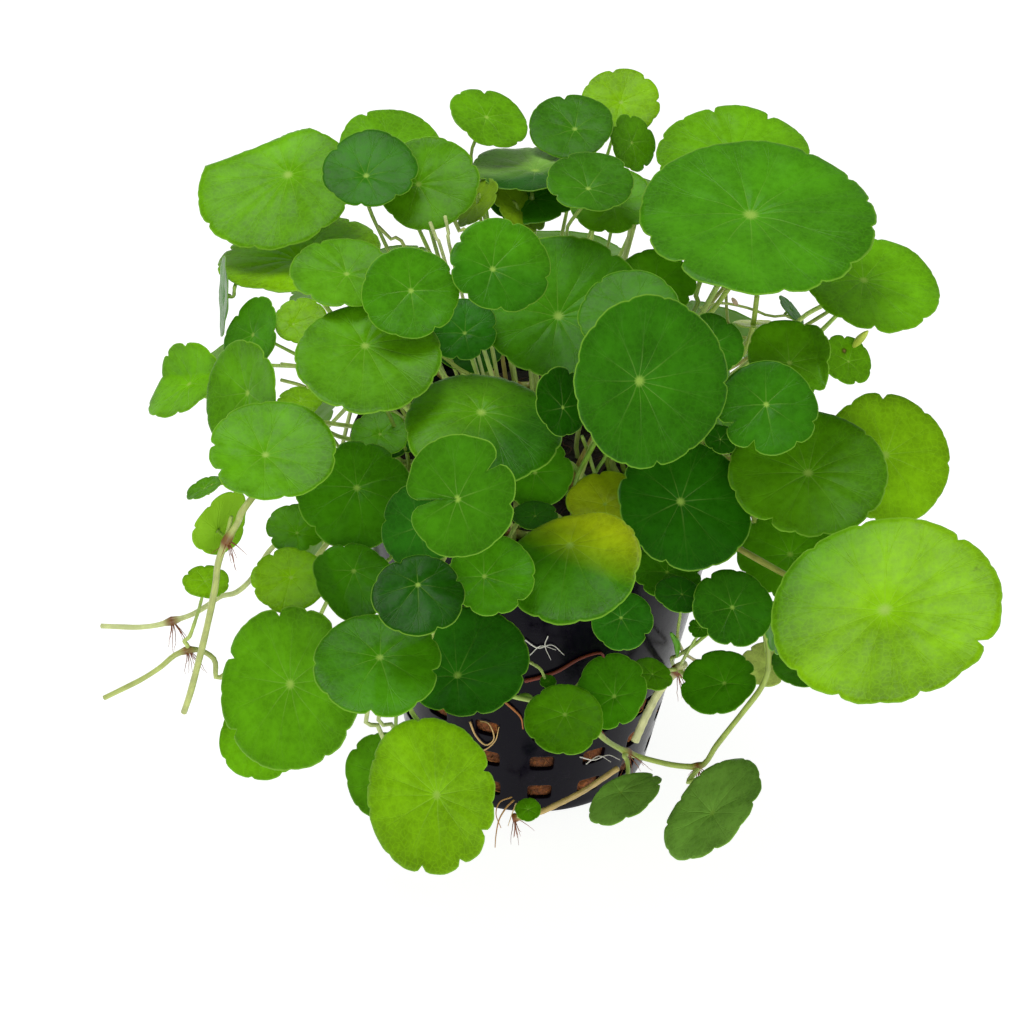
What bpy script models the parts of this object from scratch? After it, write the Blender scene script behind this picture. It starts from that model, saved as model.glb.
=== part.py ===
"""Potted pennywort: round leaves on thin stalks, creeping stems, soil and a small net pot.

The plan is worked out in millimetres and turned into metres when the meshes are made. +Z is up, the
origin is the middle of the pot's underside, and the side that was photographed faces -Y.

Each leaf was read in the photograph: the pixel of its star, where the stalk joins, the pixel of the
middle of its outline, how much its round outline is squashed by perspective and which way its face
leans. The reading gives a line of sight and a facing. Its place on that line is where the line meets
the mound of foliage, and leaves that overlap in the photograph are then moved apart along their lines
until there is air between them. Leaves of the far side are placed on the mound by two angles.
"""

import math
from collections import namedtuple

import bmesh
import bpy
import numpy as np
from mathutils import Matrix, Vector

NAME = "pennywort"
MM = 0.001

# Pot, in millimetres
POT_HEIGHT = 73.0
RIM_RADIUS = 38.0
BASE_RADIUS = 25.5
POT_WALL = 0.9
LIP_HEIGHT = 3.0
LIP_OUT = 0.9
HOLE_ROWS = (6.5, 15.0, 23.5)
HOLES_AROUND = 16
HOLE_WIDTH = 4.9
HOLE_HEIGHT = 4.0
SOIL_TOP = 69.0
GAP = 0.3
ROOT_HEIGHT = 0.8

# Line of sight of the photograph: pixels, millimetres and degrees
FRAME_MIDDLE = 512.0
FOCAL_PIXELS = 2418.0
EYE_DISTANCE = 483.0
EYE_ELEVATION = 33.0
EYE_ROLL = 2.6
EYE_TARGET = np.array([-5.5, 0.0, 56.5])

# Mound of foliage: centre height and reach, in millimetres
MOUND_MIDDLE = np.array([0.0, 0.0, 72.0])
MOUND_SIDE = 84.0
MOUND_DEPTH = 70.0
MOUND_ABOVE = 60.0
MOUND_BELOW = 66.0

# Plant, in millimetres
BLADE_THICKNESS = 0.6
BLADE_AIR = 3.8
NEARER_SHARE = 0.35
SAUCER = 0.05
LOBE_DEPTH = 0.03
STALK_RADIUS = 0.7
STEM_RADIUS = 0.9
JOINT_RADIUS = 1.4
ROOT_SPACING = 3.4
SOIL_REACH = 32.5
RIM_ARCH_HEIGHT = 84.0
STALK_AIR = 2.0
STALK_APART = 2.4
ROUTE_POINTS = 26
GROUND_CLEARANCE = 2.5
ROUTE_TOLERANCE = 0.9
FAR_TOLERANCE = 1.3

# star and middle are pixels, across is mm, squash is short over long axis as seen, lean is the
# direction in degrees in which the face leans in the photograph, layer is higher in front, back is
# how many mm the leaf lies behind the mound's skin, and plant is what carries it (empty: the soil)
Leaf = namedtuple("Leaf", "name star middle across squash lean layer back plant")


def leaf(name, star, middle, across, squash, lean, layer, back=0.0, plant=""):
    """One row of the table of leaves that the photograph shows."""
    return Leaf(name, star, middle, across, squash, lean, layer, back, plant)


LEAVES = [
    leaf("a", (289, 175), (277, 190), 31, 0.76, 105, 20),
    leaf("b", (366, 177), (370, 171), 18, 0.79, 95, 40),
    leaf("c", (390, 150), (390, 146), 20, 0.67, 85, 10, 0, "tuft_top"),
    leaf("d", (418, 185), (429, 185), 19.5, 0.88, 100, 30),
    leaf("e", (300, 262), (300, 258), 32, 0.46, 98, 8, 0, "tuft_left"),
    leaf("f", (347, 275), (341, 276), 18, 0.71, 90, 52),
    leaf("g", (411, 291), (410, 295), 17, 0.94, 90, 60),
    leaf("h", (293, 325), (301, 322), 10, 0.86, 95, 12, 0, "tuft_left"),
    leaf("i", (365, 346), (368, 364), 26, 0.74, 90, 45),
    leaf("j", (190, 385), (190, 385), 18, 0.46, 132, 30, 0, "tuft_left"),
    leaf("k", (249, 393), (246, 396), 20, 0.62, 172, 35),
    leaf("l", (254, 335), (254, 337), 15, 0.60, 160, 15, 0, "tuft_left"),
    leaf("m", (265, 456), (272, 455), 22, 0.79, 92, 70),
    leaf("o", (217, 530), (221, 522), 13, -0.50, 138, 40, 9, "runner_left_high"),
    leaf("p", (357, 488), (356, 497), 22, 0.92, 90, 40),
    leaf("q", (297, 534), (296, 529), 11, 0.84, 95, 30, 0, "tuft_front"),
    leaf("r", (300, 402), (300, 402), 8, 0.64, 90, 5, 0, "tuft_left"),
    leaf("s", (380, 435), (380, 435), 11, 0.80, 90, 6, 0, "tuft_left"),
    leaf("t", (486, 118), (488, 120), 16, 0.63, 65, 30),
    leaf("u", (575, 130), (571, 128), 17, 0.74, 90, 28, 0, "tuft_top"),
    leaf("v", (621, 103), (621, 103), 16, 0.85, 90, 10),
    leaf("w", (631, 143), (631, 143), 12, 0.71, 20, 20, 0, "tuft_top"),
    leaf("x", (588, 190), (590, 184), 16, 0.67, 85, 46),
    leaf("y", (613, 206), (613, 204), 16, 0.74, 100, 36, 0, "tuft_top"),
    leaf("z", (535, 172), (538, 172), 26, 0.33, 88, 24),
    leaf("aa", (492, 270), (500, 267), 18, 0.9, 70, 66),
    leaf("ab", (558, 317), (565, 312), 30, 0.88, 90, 34),
    leaf("ab2", (655, 285), (655, 285), 15, 0.80, 80, 12, 0, "tuft_right"),
    leaf("ac", (735, 160), (733, 160), 30, 0.67, 88, 10),
    leaf("ad", (750, 216), (757, 224), 43, 0.64, 85, 50),
    leaf("ae", (863, 281), (871, 288), 26, 0.64, 76, 30),
    leaf("ag", (630, 312), (629, 314), 18, 0.79, 100, 50),
    leaf("ai", (789, 364), (793, 360), 17, 0.80, 70, 40),
    leaf("aj", (848, 362), (846, 361), 10, 0.79, 40, 25, 0, "tuft_right"),
    leaf("ak", (766, 405), (767, 410), 18, 0.92, 80, 60),
    leaf("al", (808, 474), (808, 476), 29, 0.78, 85, 50),
    leaf("am", (885, 455), (885, 459), 25, 0.91, 30, 20),
    leaf("an", (885, 611), (887, 615), 39, 0.81, 105, 60, 8),
    leaf("ao", (790, 555), (791, 558), 21, 0.81, 80, 20, 0, "tuft_right"),
    leaf("ap", (732, 608), (732, 609), 15, 0.90, 60, 45, 34, "runner_thick"),
    leaf("aq", (725, 684), (719, 684), 15, 0.79, 110, 40, 32, "runner_thick"),
    leaf("ar", (768, 665), (768, 665), 11, 0.83, 90, 8, 54, "tuft_right"),
    leaf("ar2", (803, 668), (803, 668), 13, 0.62, 80, 12, 40, "tuft_right"),
    leaf("as", (713, 814), (715, 811), 24, 0.55, 137, 40, 5, "runner_front"),
    leaf("at", (621, 793), (626, 800), 16, 0.49, 120, 40, 2, "runner_front"),
    leaf("au", (565, 715), (564, 721), 15, 0.88, 90, 60, 26, "runner_front"),
    leaf("av", (615, 697), (612, 692), 15, 0.90, 150, 50, 26, "runner_front"),
    leaf("aw", (652, 675), (652, 675), 8, 0.70, 60, 35, 28, "runner_thick"),
    leaf("ax", (621, 618), (622, 621), 11.5, 0.97, 90, 48, 19),
    leaf("ay", (680, 502), (684, 507), 25, 0.91, 60, 45),
    leaf("az", (638, 381), (647, 381), 30, 0.88, -5, 60),
    leaf("ba", (562, 408), (560, 402), 12, 0.76, 10, 45, 0, "tuft_middle"),
    leaf("bb", (481, 413), (483, 425), 28, 0.68, 85, 40),
    leaf("bc", (458, 499), (464, 496), 21, 0.90, 175, 70),
    leaf("bd", (605, 505), (605, 503), 14, 0.82, 95, 30, 8, "tuft_middle"),
    leaf("be", (570, 545), (575, 571), 25, 0.74, 105, 50, 12),
    leaf("bf", (484, 577), (492, 577), 15, 0.93, 90, 58),
    leaf("bg", (418, 585), (418, 597), 16, 0.86, 90, 62),
    leaf("bh", (420, 527), (420, 527), 15, 0.88, 180, 42),
    leaf("bi", (457, 677), (466, 664), 24, 0.87, 95, 35, -14, "runner_front"),
    leaf("bj", (380, 658), (377, 668), 22, 0.80, 90, 55),
    leaf("bk", (291, 684), (293, 688), 29, 0.86, 180, 50),
    leaf("bl", (262, 738), (262, 738), 17, 0.95, 180, 20, 0, "tuft_front"),
    leaf("bm", (354, 571), (350, 584), 16, 0.88, 90, 45),
    leaf("bn", (291, 578), (290, 581), 14, 0.85, 95, 40),
    leaf("bo", (438, 795), (434, 796), 29, 0.83, 190, 60),
    leaf("bp", (385, 775), (385, 775), 17, 0.89, 180, 30, -8, "tuft_front"),
    leaf("br", (205, 582), (206, 583), 9, 0.70, 90, 42, 14, "runner_left_low"),
    leaf("bt", (667, 573), (667, 573), 13, 0.78, 80, 30, -14, "tuft_front"),
    leaf("bu", (682, 595), (678, 596), 9, 0.71, 70, 38, 24, "runner_thick"),
    leaf("bv", (535, 473), (535, 473), 14, 0.95, 90, 15, 6, "tuft_middle"),
    leaf("bw", (465, 334), (461, 330), 13, 0.88, 90, 40, 0, "tuft_middle"),
    leaf("bx", (712, 345), (710, 345), 12, 0.87, 60, 18, 0, "tuft_right"),
    leaf("bz", (714, 405), (714, 405), 16, 0.52, 0, 10, 0, "tuft_right"),
]

# Far side: angle around the pot from +X, height as an angle on the mound, mm across, what carries it
FarLeaf = namedtuple("FarLeaf", "name around rise across plant")
FAR_LEAVES = [
    FarLeaf("far_a", 42, 40, 24, "tuft_back_right"),
    FarLeaf("far_b", 72, 36, 26, "tuft_back"),
    FarLeaf("far_c", 104, 38, 24, "tuft_back"),
    FarLeaf("far_d", 136, 34, 27, "tuft_back_left"),
    FarLeaf("far_e", 31, 23, 24, "tuft_back_right"),
    FarLeaf("far_f", 58, -4, 28, "tuft_back_right"),
    FarLeaf("far_g", 88, 10, 28, "tuft_back"),
    FarLeaf("far_h", 121, 6, 32, "tuft_back_left"),
    FarLeaf("far_i", 147, -2, 24, "tuft_back_left"),
    FarLeaf("far_j", 36, -24, 24, "tuft_back_right"),
    FarLeaf("far_k", 70, -28, 27, "tuft_back"),
    FarLeaf("far_l", 105, -26, 22, "tuft_back"),
    FarLeaf("far_m", 138, -24, 25, "tuft_back_left"),
    FarLeaf("far_n", 154, -46, 18, "tuft_back_left"),
]
FAR_REACH = 0.93

# Creeping stems on the soil that carry several leaves: from and to angle, and distance from the axis
Tuft = namedtuple("Tuft", "name start end reach")
TUFTS = [
    Tuft("tuft_top", 70, 130, 11.0),
    Tuft("tuft_left", 168, 212, 24.0),
    Tuft("tuft_middle", 232, 318, 13.0),
    Tuft("tuft_front", 232, 322, 29.0),
    Tuft("tuft_right", -30, 22, 24.0),
    Tuft("tuft_back_right", 32, 66, 27.0),
    Tuft("tuft_back", 76, 112, 27.0),
    Tuft("tuft_back_left", 122, 158, 27.0),
]

# Runners over the rim. A reading is a pixel and how many mm in front of the pot's axis it lies.
# leave is the angle at which the runner leaves the soil (None: it starts at the first reading),
# and joints are the places of its knots, counted along the readings
Runner = namedtuple("Runner", "name leave readings joints")
RUNNERS = [
    Runner("runner_left_high", 190, [
        (252, 498, 46), (240, 519, 47), (227, 540, 48), (219, 559, 48), (215, 588, 48),
        (207, 627, 48), (198, 664, 47), (190, 694, 46), (184, 712, 45)], (2,)),
    Runner("runner_left_pale", 203, [
        (254, 575, 30), (223, 595, 30), (195, 613, 31), (172, 621, 32), (144, 627, 33),
        (101, 626, 34)], (3,)),
    Runner("runner_left_low", 218, [
        (233, 667, 38), (212, 656, 39), (187, 648, 40), (169, 661, 41), (144, 678, 42),
        (104, 698, 43)], (2,)),
    Runner("runner_front", -12, [
        (768, 664, 26), (759, 690, 27), (731, 727, 28), (705, 760, 28), (698, 768, 28),
        (655, 761, 29), (627, 752, 31), (601, 736, 37), (588, 716, 40)], (4, 6, 8)),
    Runner("runner_thick", None, [
        (635, 741, 30), (646, 716, 29), (660, 690, 27), (677, 670, 26), (684, 664, 27)], (3,)),
    Runner("runner_low", None, [
        (618, 768, 30), (585, 790, 32), (560, 803, 33), (540, 812, 33), (514, 818, 32)], (4,)),
]

# Which knot of its runner a leaf grows from, as a place among the readings
KNOT_OF = {"o": 2, "br": 2, "as": 4, "at": 6, "au": 8, "av": 8, "bi": 8,
           "ap": 3, "aq": 3, "aw": 3, "bu": 3}

# Readings that the stalk of a leaf passes on its way, where the photograph shows or hides it
VIA = {"bo": [(388, 720, 50)], "bp": [(372, 728, 46)], "m": [(352, 480, 20)],
       "bn": [(300, 596, 46)], "k": [(350, 452, 18)]}

# Leaves too small for a solid here: their places are planned, so that the others keep clear of them
TOO_SMALL = ("r", "s", "aw", "bu", "ar2")

# sRGB colours of the finishes, then roughness
COLOURS = {
    "pot": ("#1d1826", 0.35),
    "soil": ("#5d3417", 0.95),
    "leaf": ("#4a9a0c", 0.45),
    "far": ("#3a8414", 0.45),
    "runner": ("#c9dc7a", 0.5),
}


def linear(value):
    """One sRGB channel from 0 to 1 as linear light."""
    return value / 12.92 if value <= 0.04045 else ((value + 0.055) / 1.055) ** 2.4


def make_material(name):
    """A Principled material from the table of finishes."""
    colour, roughness = COLOURS[name]
    rgb = [linear(int(colour[k:k + 2], 16) / 255) for k in (1, 3, 5)]
    material = bpy.data.materials.new(name)
    material.use_nodes = True
    shader = material.node_tree.nodes["Principled BSDF"]
    shader.inputs["Base Color"].default_value = (*rgb, 1)
    shader.inputs["Roughness"].default_value = roughness
    shader.inputs["Metallic"].default_value = 0
    return material


# Lines of sight

def eye_axes():
    """The eye's place and its right, up and forward directions."""
    rise = math.radians(EYE_ELEVATION)
    roll = math.radians(EYE_ROLL)
    forward = np.array([0, math.cos(rise), -math.sin(rise)])
    level = np.array([1.0, 0, 0])
    upright = np.array([0, math.sin(rise), math.cos(rise)])
    right = level * math.cos(roll) + upright * math.sin(roll)
    up = upright * math.cos(roll) - level * math.sin(roll)
    return EYE_TARGET - forward * EYE_DISTANCE, right, up, forward


EYE, RIGHT, UP, FORWARD = eye_axes()


def unit(vector):
    """The vector at length one."""
    return vector / np.linalg.norm(vector)


def sight(pixel):
    """Direction from the eye through a pixel."""
    return unit(FORWARD * FOCAL_PIXELS + RIGHT * (pixel[0] - FRAME_MIDDLE)
                + UP * (FRAME_MIDDLE - pixel[1]))


def reading_place(column, row, front):
    """Where the line of sight of a pixel crosses the upright plane that many mm in front."""
    way = sight((column, row))
    return EYE + way * ((-front - EYE[1]) / way[1])


def mound_distance(way):
    """Distance along a line of sight to the mound's skin, or to where it passes closest."""
    for height in (MOUND_ABOVE, MOUND_BELOW):
        reach = np.array([MOUND_SIDE, MOUND_DEPTH, height])
        start = (EYE - MOUND_MIDDLE) / reach
        step = way / reach
        a, b, c = step @ step, start @ step, start @ start - 1
        distance = (-b - math.sqrt(max(b * b - a * c, 0))) / a
        if (EYE + way * distance)[2] >= MOUND_MIDDLE[2]:
            break
    return distance


def facing(way, squash, lean):
    """Normal of a round blade that is seen squashed, leaning towards lean degrees in the picture."""
    toward = -way
    side = unit(RIGHT - toward * (RIGHT @ toward))
    top = np.cross(toward, side)
    turn = math.radians(lean)
    leaning = side * math.cos(turn) + top * math.sin(turn)
    return toward * squash + leaning * math.sqrt(1 - squash * squash)


# Places of the blades

def far_place(row):
    """Hub and normal of a leaf on the far side of the mound."""
    around, rise = math.radians(row.around), math.radians(row.rise)
    height = MOUND_ABOVE if rise > 0 else MOUND_BELOW
    reach = np.array([MOUND_SIDE, MOUND_DEPTH, height]) * FAR_REACH
    out = np.array([math.cos(around) * math.cos(rise), math.sin(around) * math.cos(rise),
                    math.sin(rise)])
    return MOUND_MIDDLE + out * reach, unit(out + np.array([0, 0, 0.9]))


def plan_blades():
    """Name, carrier, hub, middle, normal and radius of every blade, in arrays by row."""
    rows = LEAVES + FAR_LEAVES
    ways, middles, normals, distances, layers = [], [], [], [], []
    for row in LEAVES:
        way, middle_way = sight(row.star), sight(row.middle)
        normal = facing(way, row.squash, row.lean)
        ways.append(way)
        middles.append(middle_way * (way @ normal) / (middle_way @ normal))
        normals.append(normal)
        distances.append(mound_distance(way) + row.back)
        layers.append(row.layer)
    for place, row in enumerate(FAR_LEAVES):
        hub, normal = far_place(row)
        ways.append(unit(hub - EYE))
        middles.append(ways[-1])
        normals.append(normal)
        distances.append(np.linalg.norm(hub - EYE))
        layers.append(-10 - place)
    ways, middles, normals = np.array(ways), np.array(middles), np.array(normals)
    radii = np.array([row.across / 2 for row in rows])
    distances = settle(ways, middles, normals, radii, np.array(layers), np.array(distances))
    hubs = EYE + ways * distances[:, None]
    centres = EYE + middles * distances[:, None]
    return rows, hubs, centres, normals, radii


def blade_axes(normal):
    """Two directions in the plane of a blade, the first level with the picture."""
    side = unit(RIGHT - normal * (RIGHT @ normal))
    return side, np.cross(normal, side)


def blade_samples(normals, radii):
    """Points over each blade, measured from its middle: three rings of twenty."""
    turn = np.linspace(0, 2 * math.pi, 20, endpoint=False)
    discs = []
    for normal, radius in zip(normals, radii):
        side, top = blade_axes(normal)
        ring = np.cos(turn)[:, None] * side + np.sin(turn)[:, None] * top
        discs.append(np.vstack([ring * radius * share for share in (0.01, 0.5, 1.0)]))
    return np.array(discs)


def settle(ways, middles, normals, radii, layers, distances):
    """Move overlapping blades apart along their lines of sight, the higher layer nearer."""
    order = layers + np.arange(len(layers)) * 0.001
    discs = blade_samples(normals, radii)
    for _ in range(120):
        hubs = ways * distances[:, None]
        centres = middles * distances[:, None]
        points = centres[:, None] + discs
        depth = np.linalg.norm(points, axis=-1)
        lines = points / depth[..., None]
        move = np.zeros(len(ways))
        touched = np.zeros(len(ways))
        for j, normal in enumerate(normals):
            reach = (hubs[j] @ normal) / (lines @ normal)
            apart = np.linalg.norm(lines * reach[..., None] - centres[j], axis=-1)
            inside = (apart < radii[j] * 1.03) & (reach > 0)
            inside[j] = False
            behind = reach - depth
            nearer = order > order[j]
            least = np.where(inside, behind, np.inf).min(axis=1)
            most = np.where(inside, behind, -np.inf).max(axis=1)
            short = np.where(nearer, BLADE_AIR - least, BLADE_AIR + most)
            short = np.where(inside.any(axis=1), np.maximum(short, 0), 0)
            move += np.where(nearer, -NEARER_SHARE, 1 - NEARER_SHARE) * short
            move[j] += (np.where(nearer, 1 - NEARER_SHARE, -NEARER_SHARE) * short).sum()
            touched += short > 0
            touched[j] += (short > 0).sum()
        if not touched.any():
            break
        distances = distances + 0.6 * move / np.sqrt(np.maximum(touched, 1))
    return distances


# Stalks

def tuft_roots(tuft, count):
    """Places along a creeping stem from which its leaves grow."""
    turn = np.radians(np.linspace(tuft.start, tuft.end, count))
    height = SOIL_TOP + GAP + STEM_RADIUS
    return np.stack([np.cos(turn) * tuft.reach, np.sin(turn) * tuft.reach,
                     np.full(count, height)], -1)


def plan_roots(rows, hubs, runner_points):
    """Where each stalk starts: on the soil, on its creeping stem or on its runner's knot."""
    roots = np.zeros((len(rows), 3))
    held = np.zeros(len(rows), bool)
    for tuft in TUFTS:
        members = [k for k, row in enumerate(rows) if row.plant == tuft.name]
        members.sort(key=lambda k: tuft_bearing(tuft, hubs[k]))
        roots[members] = tuft_places(tuft, [tuft_bearing(tuft, hubs[k]) for k in members])
        held[members] = True
    for k, row in enumerate(rows):
        if row.name in KNOT_OF:
            roots[k] = runner_points[row.plant][KNOT_OF[row.name]]
            held[k] = True
    out = np.linalg.norm(hubs[:, :2], axis=1)
    free = hubs[:, :2] / out[:, None] * np.minimum(out * 0.42, SOIL_REACH)[:, None]
    roots[~held, :2] = free[~held]
    roots[~held, 2] = SOIL_TOP + ROOT_HEIGHT
    stems = [tuft_roots(tuft, 12)[:, :2] for tuft in TUFTS]
    stems += [runner_root(runner)[None, :2] for runner in RUNNERS if runner.leave is not None]
    stems = np.vstack(stems)
    for _ in range(300):
        fixed = np.vstack([roots[:, :2], stems])
        away = roots[:, None, :2] - fixed[None]
        gap = np.linalg.norm(away, axis=-1)
        gap[np.arange(len(rows)), np.arange(len(rows))] = 99
        short = np.maximum(ROOT_SPACING - gap, 0) * 0.3
        push = (away / np.maximum(gap, 0.001)[..., None] * short[..., None]).sum(axis=1)
        roots[~held, :2] += push[~held]
        reach = np.linalg.norm(roots[:, :2], axis=1)
        shrink = np.minimum(1, SOIL_REACH / np.maximum(reach, 0.001))
        roots[~held, :2] *= shrink[~held, None]
    return roots, held


def tuft_bearing(tuft, hub):
    """Angle of a hub around the pot in degrees, counted from the middle of the tuft."""
    middle = (tuft.start + tuft.end) / 2
    angle = math.degrees(math.atan2(hub[1], hub[0]))
    return (angle - middle + 180) % 360 - 180


def tuft_places(tuft, bearings):
    """Places on a creeping stem towards the given bearings, kept apart along it."""
    half = (tuft.end - tuft.start) / 2
    apart = min(math.degrees(ROOT_SPACING / tuft.reach), 2 * half / max(len(bearings) - 1, 1))
    turns = np.clip(bearings, -half, half)
    for _ in range(60):
        for k in range(len(turns) - 1):
            short = max(apart - (turns[k + 1] - turns[k]), 0)
            turns[k] -= short / 2
            turns[k + 1] += short / 2
        turns = np.clip(turns, -half, half)
    turns = np.radians(turns + (tuft.start + tuft.end) / 2)
    height = SOIL_TOP + GAP + STEM_RADIUS
    return np.stack([np.cos(turns) * tuft.reach, np.sin(turns) * tuft.reach,
                     np.full(len(turns), height)], -1)


def smooth_path(points, count):
    """Evenly spaced points on a Catmull-Rom curve through the given ones."""
    points = np.asarray(points, float)
    ends = np.vstack([2 * points[0] - points[1], points, 2 * points[-1] - points[-2]])
    t = np.linspace(0, 1, 16, endpoint=False)[:, None]
    spans = []
    for a, b, c, d in zip(ends, ends[1:], ends[2:], ends[3:]):
        spans.append(0.5 * (2 * b + (c - a) * t + (2 * a - 5 * b + 4 * c - d) * t ** 2
                            + (3 * b - a - 3 * c + d) * t ** 3))
    return even_path(np.vstack(spans + [points[-1:]]), count)


def even_path(path, count):
    """The same line with evenly spaced points."""
    steps = np.linalg.norm(np.diff(path, axis=0), axis=1)
    along = np.concatenate([[0], np.cumsum(steps)])
    wanted = np.linspace(0, along[-1], count)
    return np.stack([np.interp(wanted, along, path[:, k]) for k in range(3)], -1)


def over_rim(bearing):
    """A place just above the rim in the direction of the given bearing."""
    flat = unit(np.asarray(bearing[:2]))
    return np.array([*(flat * (RIM_RADIUS + 3)), RIM_ARCH_HEIGHT])


def first_route(root, hub, centre, normal, radius, on_runner, via):
    """A stalk before it gives way: from its root, over the rim if need be, to the blade's back."""
    if on_runner:
        points = [root, root + unit(hub - root) * 2.0]
    else:
        points = [root, root + np.array([0, 0, 9.0])]
        if hub[2] < POT_HEIGHT + 11 and np.linalg.norm(hub[:2]) > RIM_RADIUS:
            points.append(over_rim(hub))
    points += [reading_place(*reading) for reading in via]
    height = (points[-1] - hub) @ normal
    if height > 0:
        flat = unit(points[-1] - hub - normal * height)
        points.append(centre + flat * (radius + 3.0))
        points.append(hub - normal * 4.0 + flat * radius * 0.4)
    elif not on_runner:
        points.append(hub - normal * 9.0 - np.array([0, 0, 2.0]))
    points += [hub - normal * 3.0, hub]
    return smooth_path(points, ROUTE_POINTS)


def runner_root(runner):
    """Where a runner leaves the soil."""
    turn = math.radians(runner.leave)
    reach = SOIL_REACH - 1
    return np.array([math.cos(turn) * reach, math.sin(turn) * reach, SOIL_TOP + ROOT_HEIGHT])


def runner_route(runner, points):
    """Middle line of a runner, with the hidden stretch from the soil if it has one."""
    if runner.leave is None:
        return smooth_path(points, ROUTE_POINTS), np.zeros(ROUTE_POINTS, bool)
    root = runner_root(runner)
    line = smooth_path([root, root + np.array([0, 0, 7.0]), over_rim(root), *points],
                       ROUTE_POINTS)
    first = np.linalg.norm(line - points[0], axis=1).argmin()
    free = np.arange(ROUTE_POINTS) < first - 1
    free[:2] = False
    return line, free


def push_from_blades(lines, centres, normals, radii, owners):
    """How far each point of each stalk has to give way to the blades."""
    count, points = lines.shape[:2]
    flat = lines.reshape(-1, 3)
    height = flat @ normals.T - (centres * normals).sum(axis=1)
    square = (flat ** 2).sum(axis=1)[:, None] - 2 * flat @ centres.T + (centres ** 2).sum(axis=1)
    out = np.sqrt(np.maximum(square - height ** 2, 0)).reshape(count, points, -1)
    height = height.reshape(out.shape)
    end = height[:, -1].copy()
    end[owners, owners] = -1
    limit = radii + STALK_AIR
    within = out < limit
    act = (np.abs(height) < STALK_AIR) & within
    passes = (height[:, :-1] * height[:, 1:] < 0) & within[:, :-1] & within[:, 1:]
    act[:, :-1] |= passes
    act[:, 1:] |= passes
    act[owners[:, None], np.arange(points - 5, points), owners[:, None]] = False
    stalk, place, blade = np.nonzero(act)
    over = height[stalk, place, blade][:, None]
    reach = out[stalk, place, blade][:, None]
    first = height[stalk, 0, blade]
    normal = normals[blade]
    crosses = first * end[stalk, blade] < 0
    ray = (lines[stalk, place] - centres[blade] - over * normal) / np.maximum(reach, 0.001)
    around = ray * (limit[blade][:, None] - reach) * 0.5
    away = normal * (np.sign(first)[:, None] * STALK_AIR - over) * 0.6
    push = np.zeros_like(lines)
    np.add.at(push, (stalk, place), np.where(crosses[:, None], around, away))
    return push


def push_from_stalks(lines, own):
    """How far each point has to give way to the other stalks. own marks pairs on one stalk."""
    flat = lines.reshape(-1, 3).astype(np.float32)
    square = (flat ** 2).sum(axis=1)
    gap = flat @ flat.T
    gap *= -2
    gap += square[:, None]
    gap += square
    a, b = np.nonzero((gap < STALK_APART ** 2) & ~own)
    away = flat[a] - flat[b]
    length = np.maximum(np.linalg.norm(away, axis=1), 0.001)
    push = np.zeros((len(flat), 3))
    np.add.at(push, a, away / length[:, None] * (STALK_APART - length)[:, None] * 0.35)
    return push.reshape(lines.shape)


def push_from_pot(lines):
    """How far each point has to give way to the pot's wall, its rim and the ground."""
    push = np.zeros_like(lines)
    reach = np.maximum(np.linalg.norm(lines[..., :2], axis=-1), 0.001)
    height = lines[..., 2]
    ray = lines[..., :2] / reach[..., None]
    share = np.clip(height / POT_HEIGHT, 0, 1)
    wall = BASE_RADIUS + (RIM_RADIUS - BASE_RADIUS) * share + 2.6
    outside = (reach > RIM_RADIUS - 4) | (height < SOIL_TOP - 6)
    low = outside & (height < POT_HEIGHT + 1)
    push[..., :2] += ray * np.where(low, np.maximum(wall - reach, 0), 0)[..., None]
    push[..., 2] += np.where(outside, 0, np.maximum(SOIL_TOP + ROOT_HEIGHT - height, 0))
    over = (reach > SOIL_REACH + 0.5) & (reach < RIM_RADIUS + 1.5) & (height > SOIL_TOP - 10)
    push[..., 2] += np.where(over, np.maximum(POT_HEIGHT + 4 - height, 0), 0)
    rim = np.concatenate([ray * (RIM_RADIUS - 0.5), np.full_like(ray[..., :1], POT_HEIGHT - 1)], -1)
    away = lines - rim
    gap = np.maximum(np.linalg.norm(away, axis=-1), 0.001)
    push += away / gap[..., None] * np.maximum(3.8 - gap, 0)[..., None]
    push[..., 2] += np.maximum(GROUND_CLEARANCE - height, 0)
    return push


def give_way(lines, free, centres, normals, radii, owners):
    """Bend the free points of all stalks until blades, stalks and pot have air around them."""
    lines = lines.copy()
    free = free[..., None]
    stalk = np.repeat(np.arange(len(lines)), lines.shape[1])
    own = stalk[:, None] == stalk
    for turn in range(270):
        push = push_from_blades(lines, centres, normals, radii, owners)
        if turn % 3 == 0 or turn > 225:
            push += push_from_stalks(lines, own)
        push += push_from_pot(lines)
        spread = push.copy()
        for _ in range(2):
            spread[:, 1:-1] = (spread[:, :-2] + 2 * spread[:, 1:-1] + spread[:, 2:]) / 4
        lines += (push * 0.5 + spread * 0.8) * free
        slack = np.zeros_like(lines)
        slack[:, 1:-1] = (lines[:, :-2] + lines[:, 2:]) / 2 - lines[:, 1:-1]
        lines += slack * free * (0.35 if turn < 200 else 0.12 if turn < 240 else 0.02)
    return lines


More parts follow.
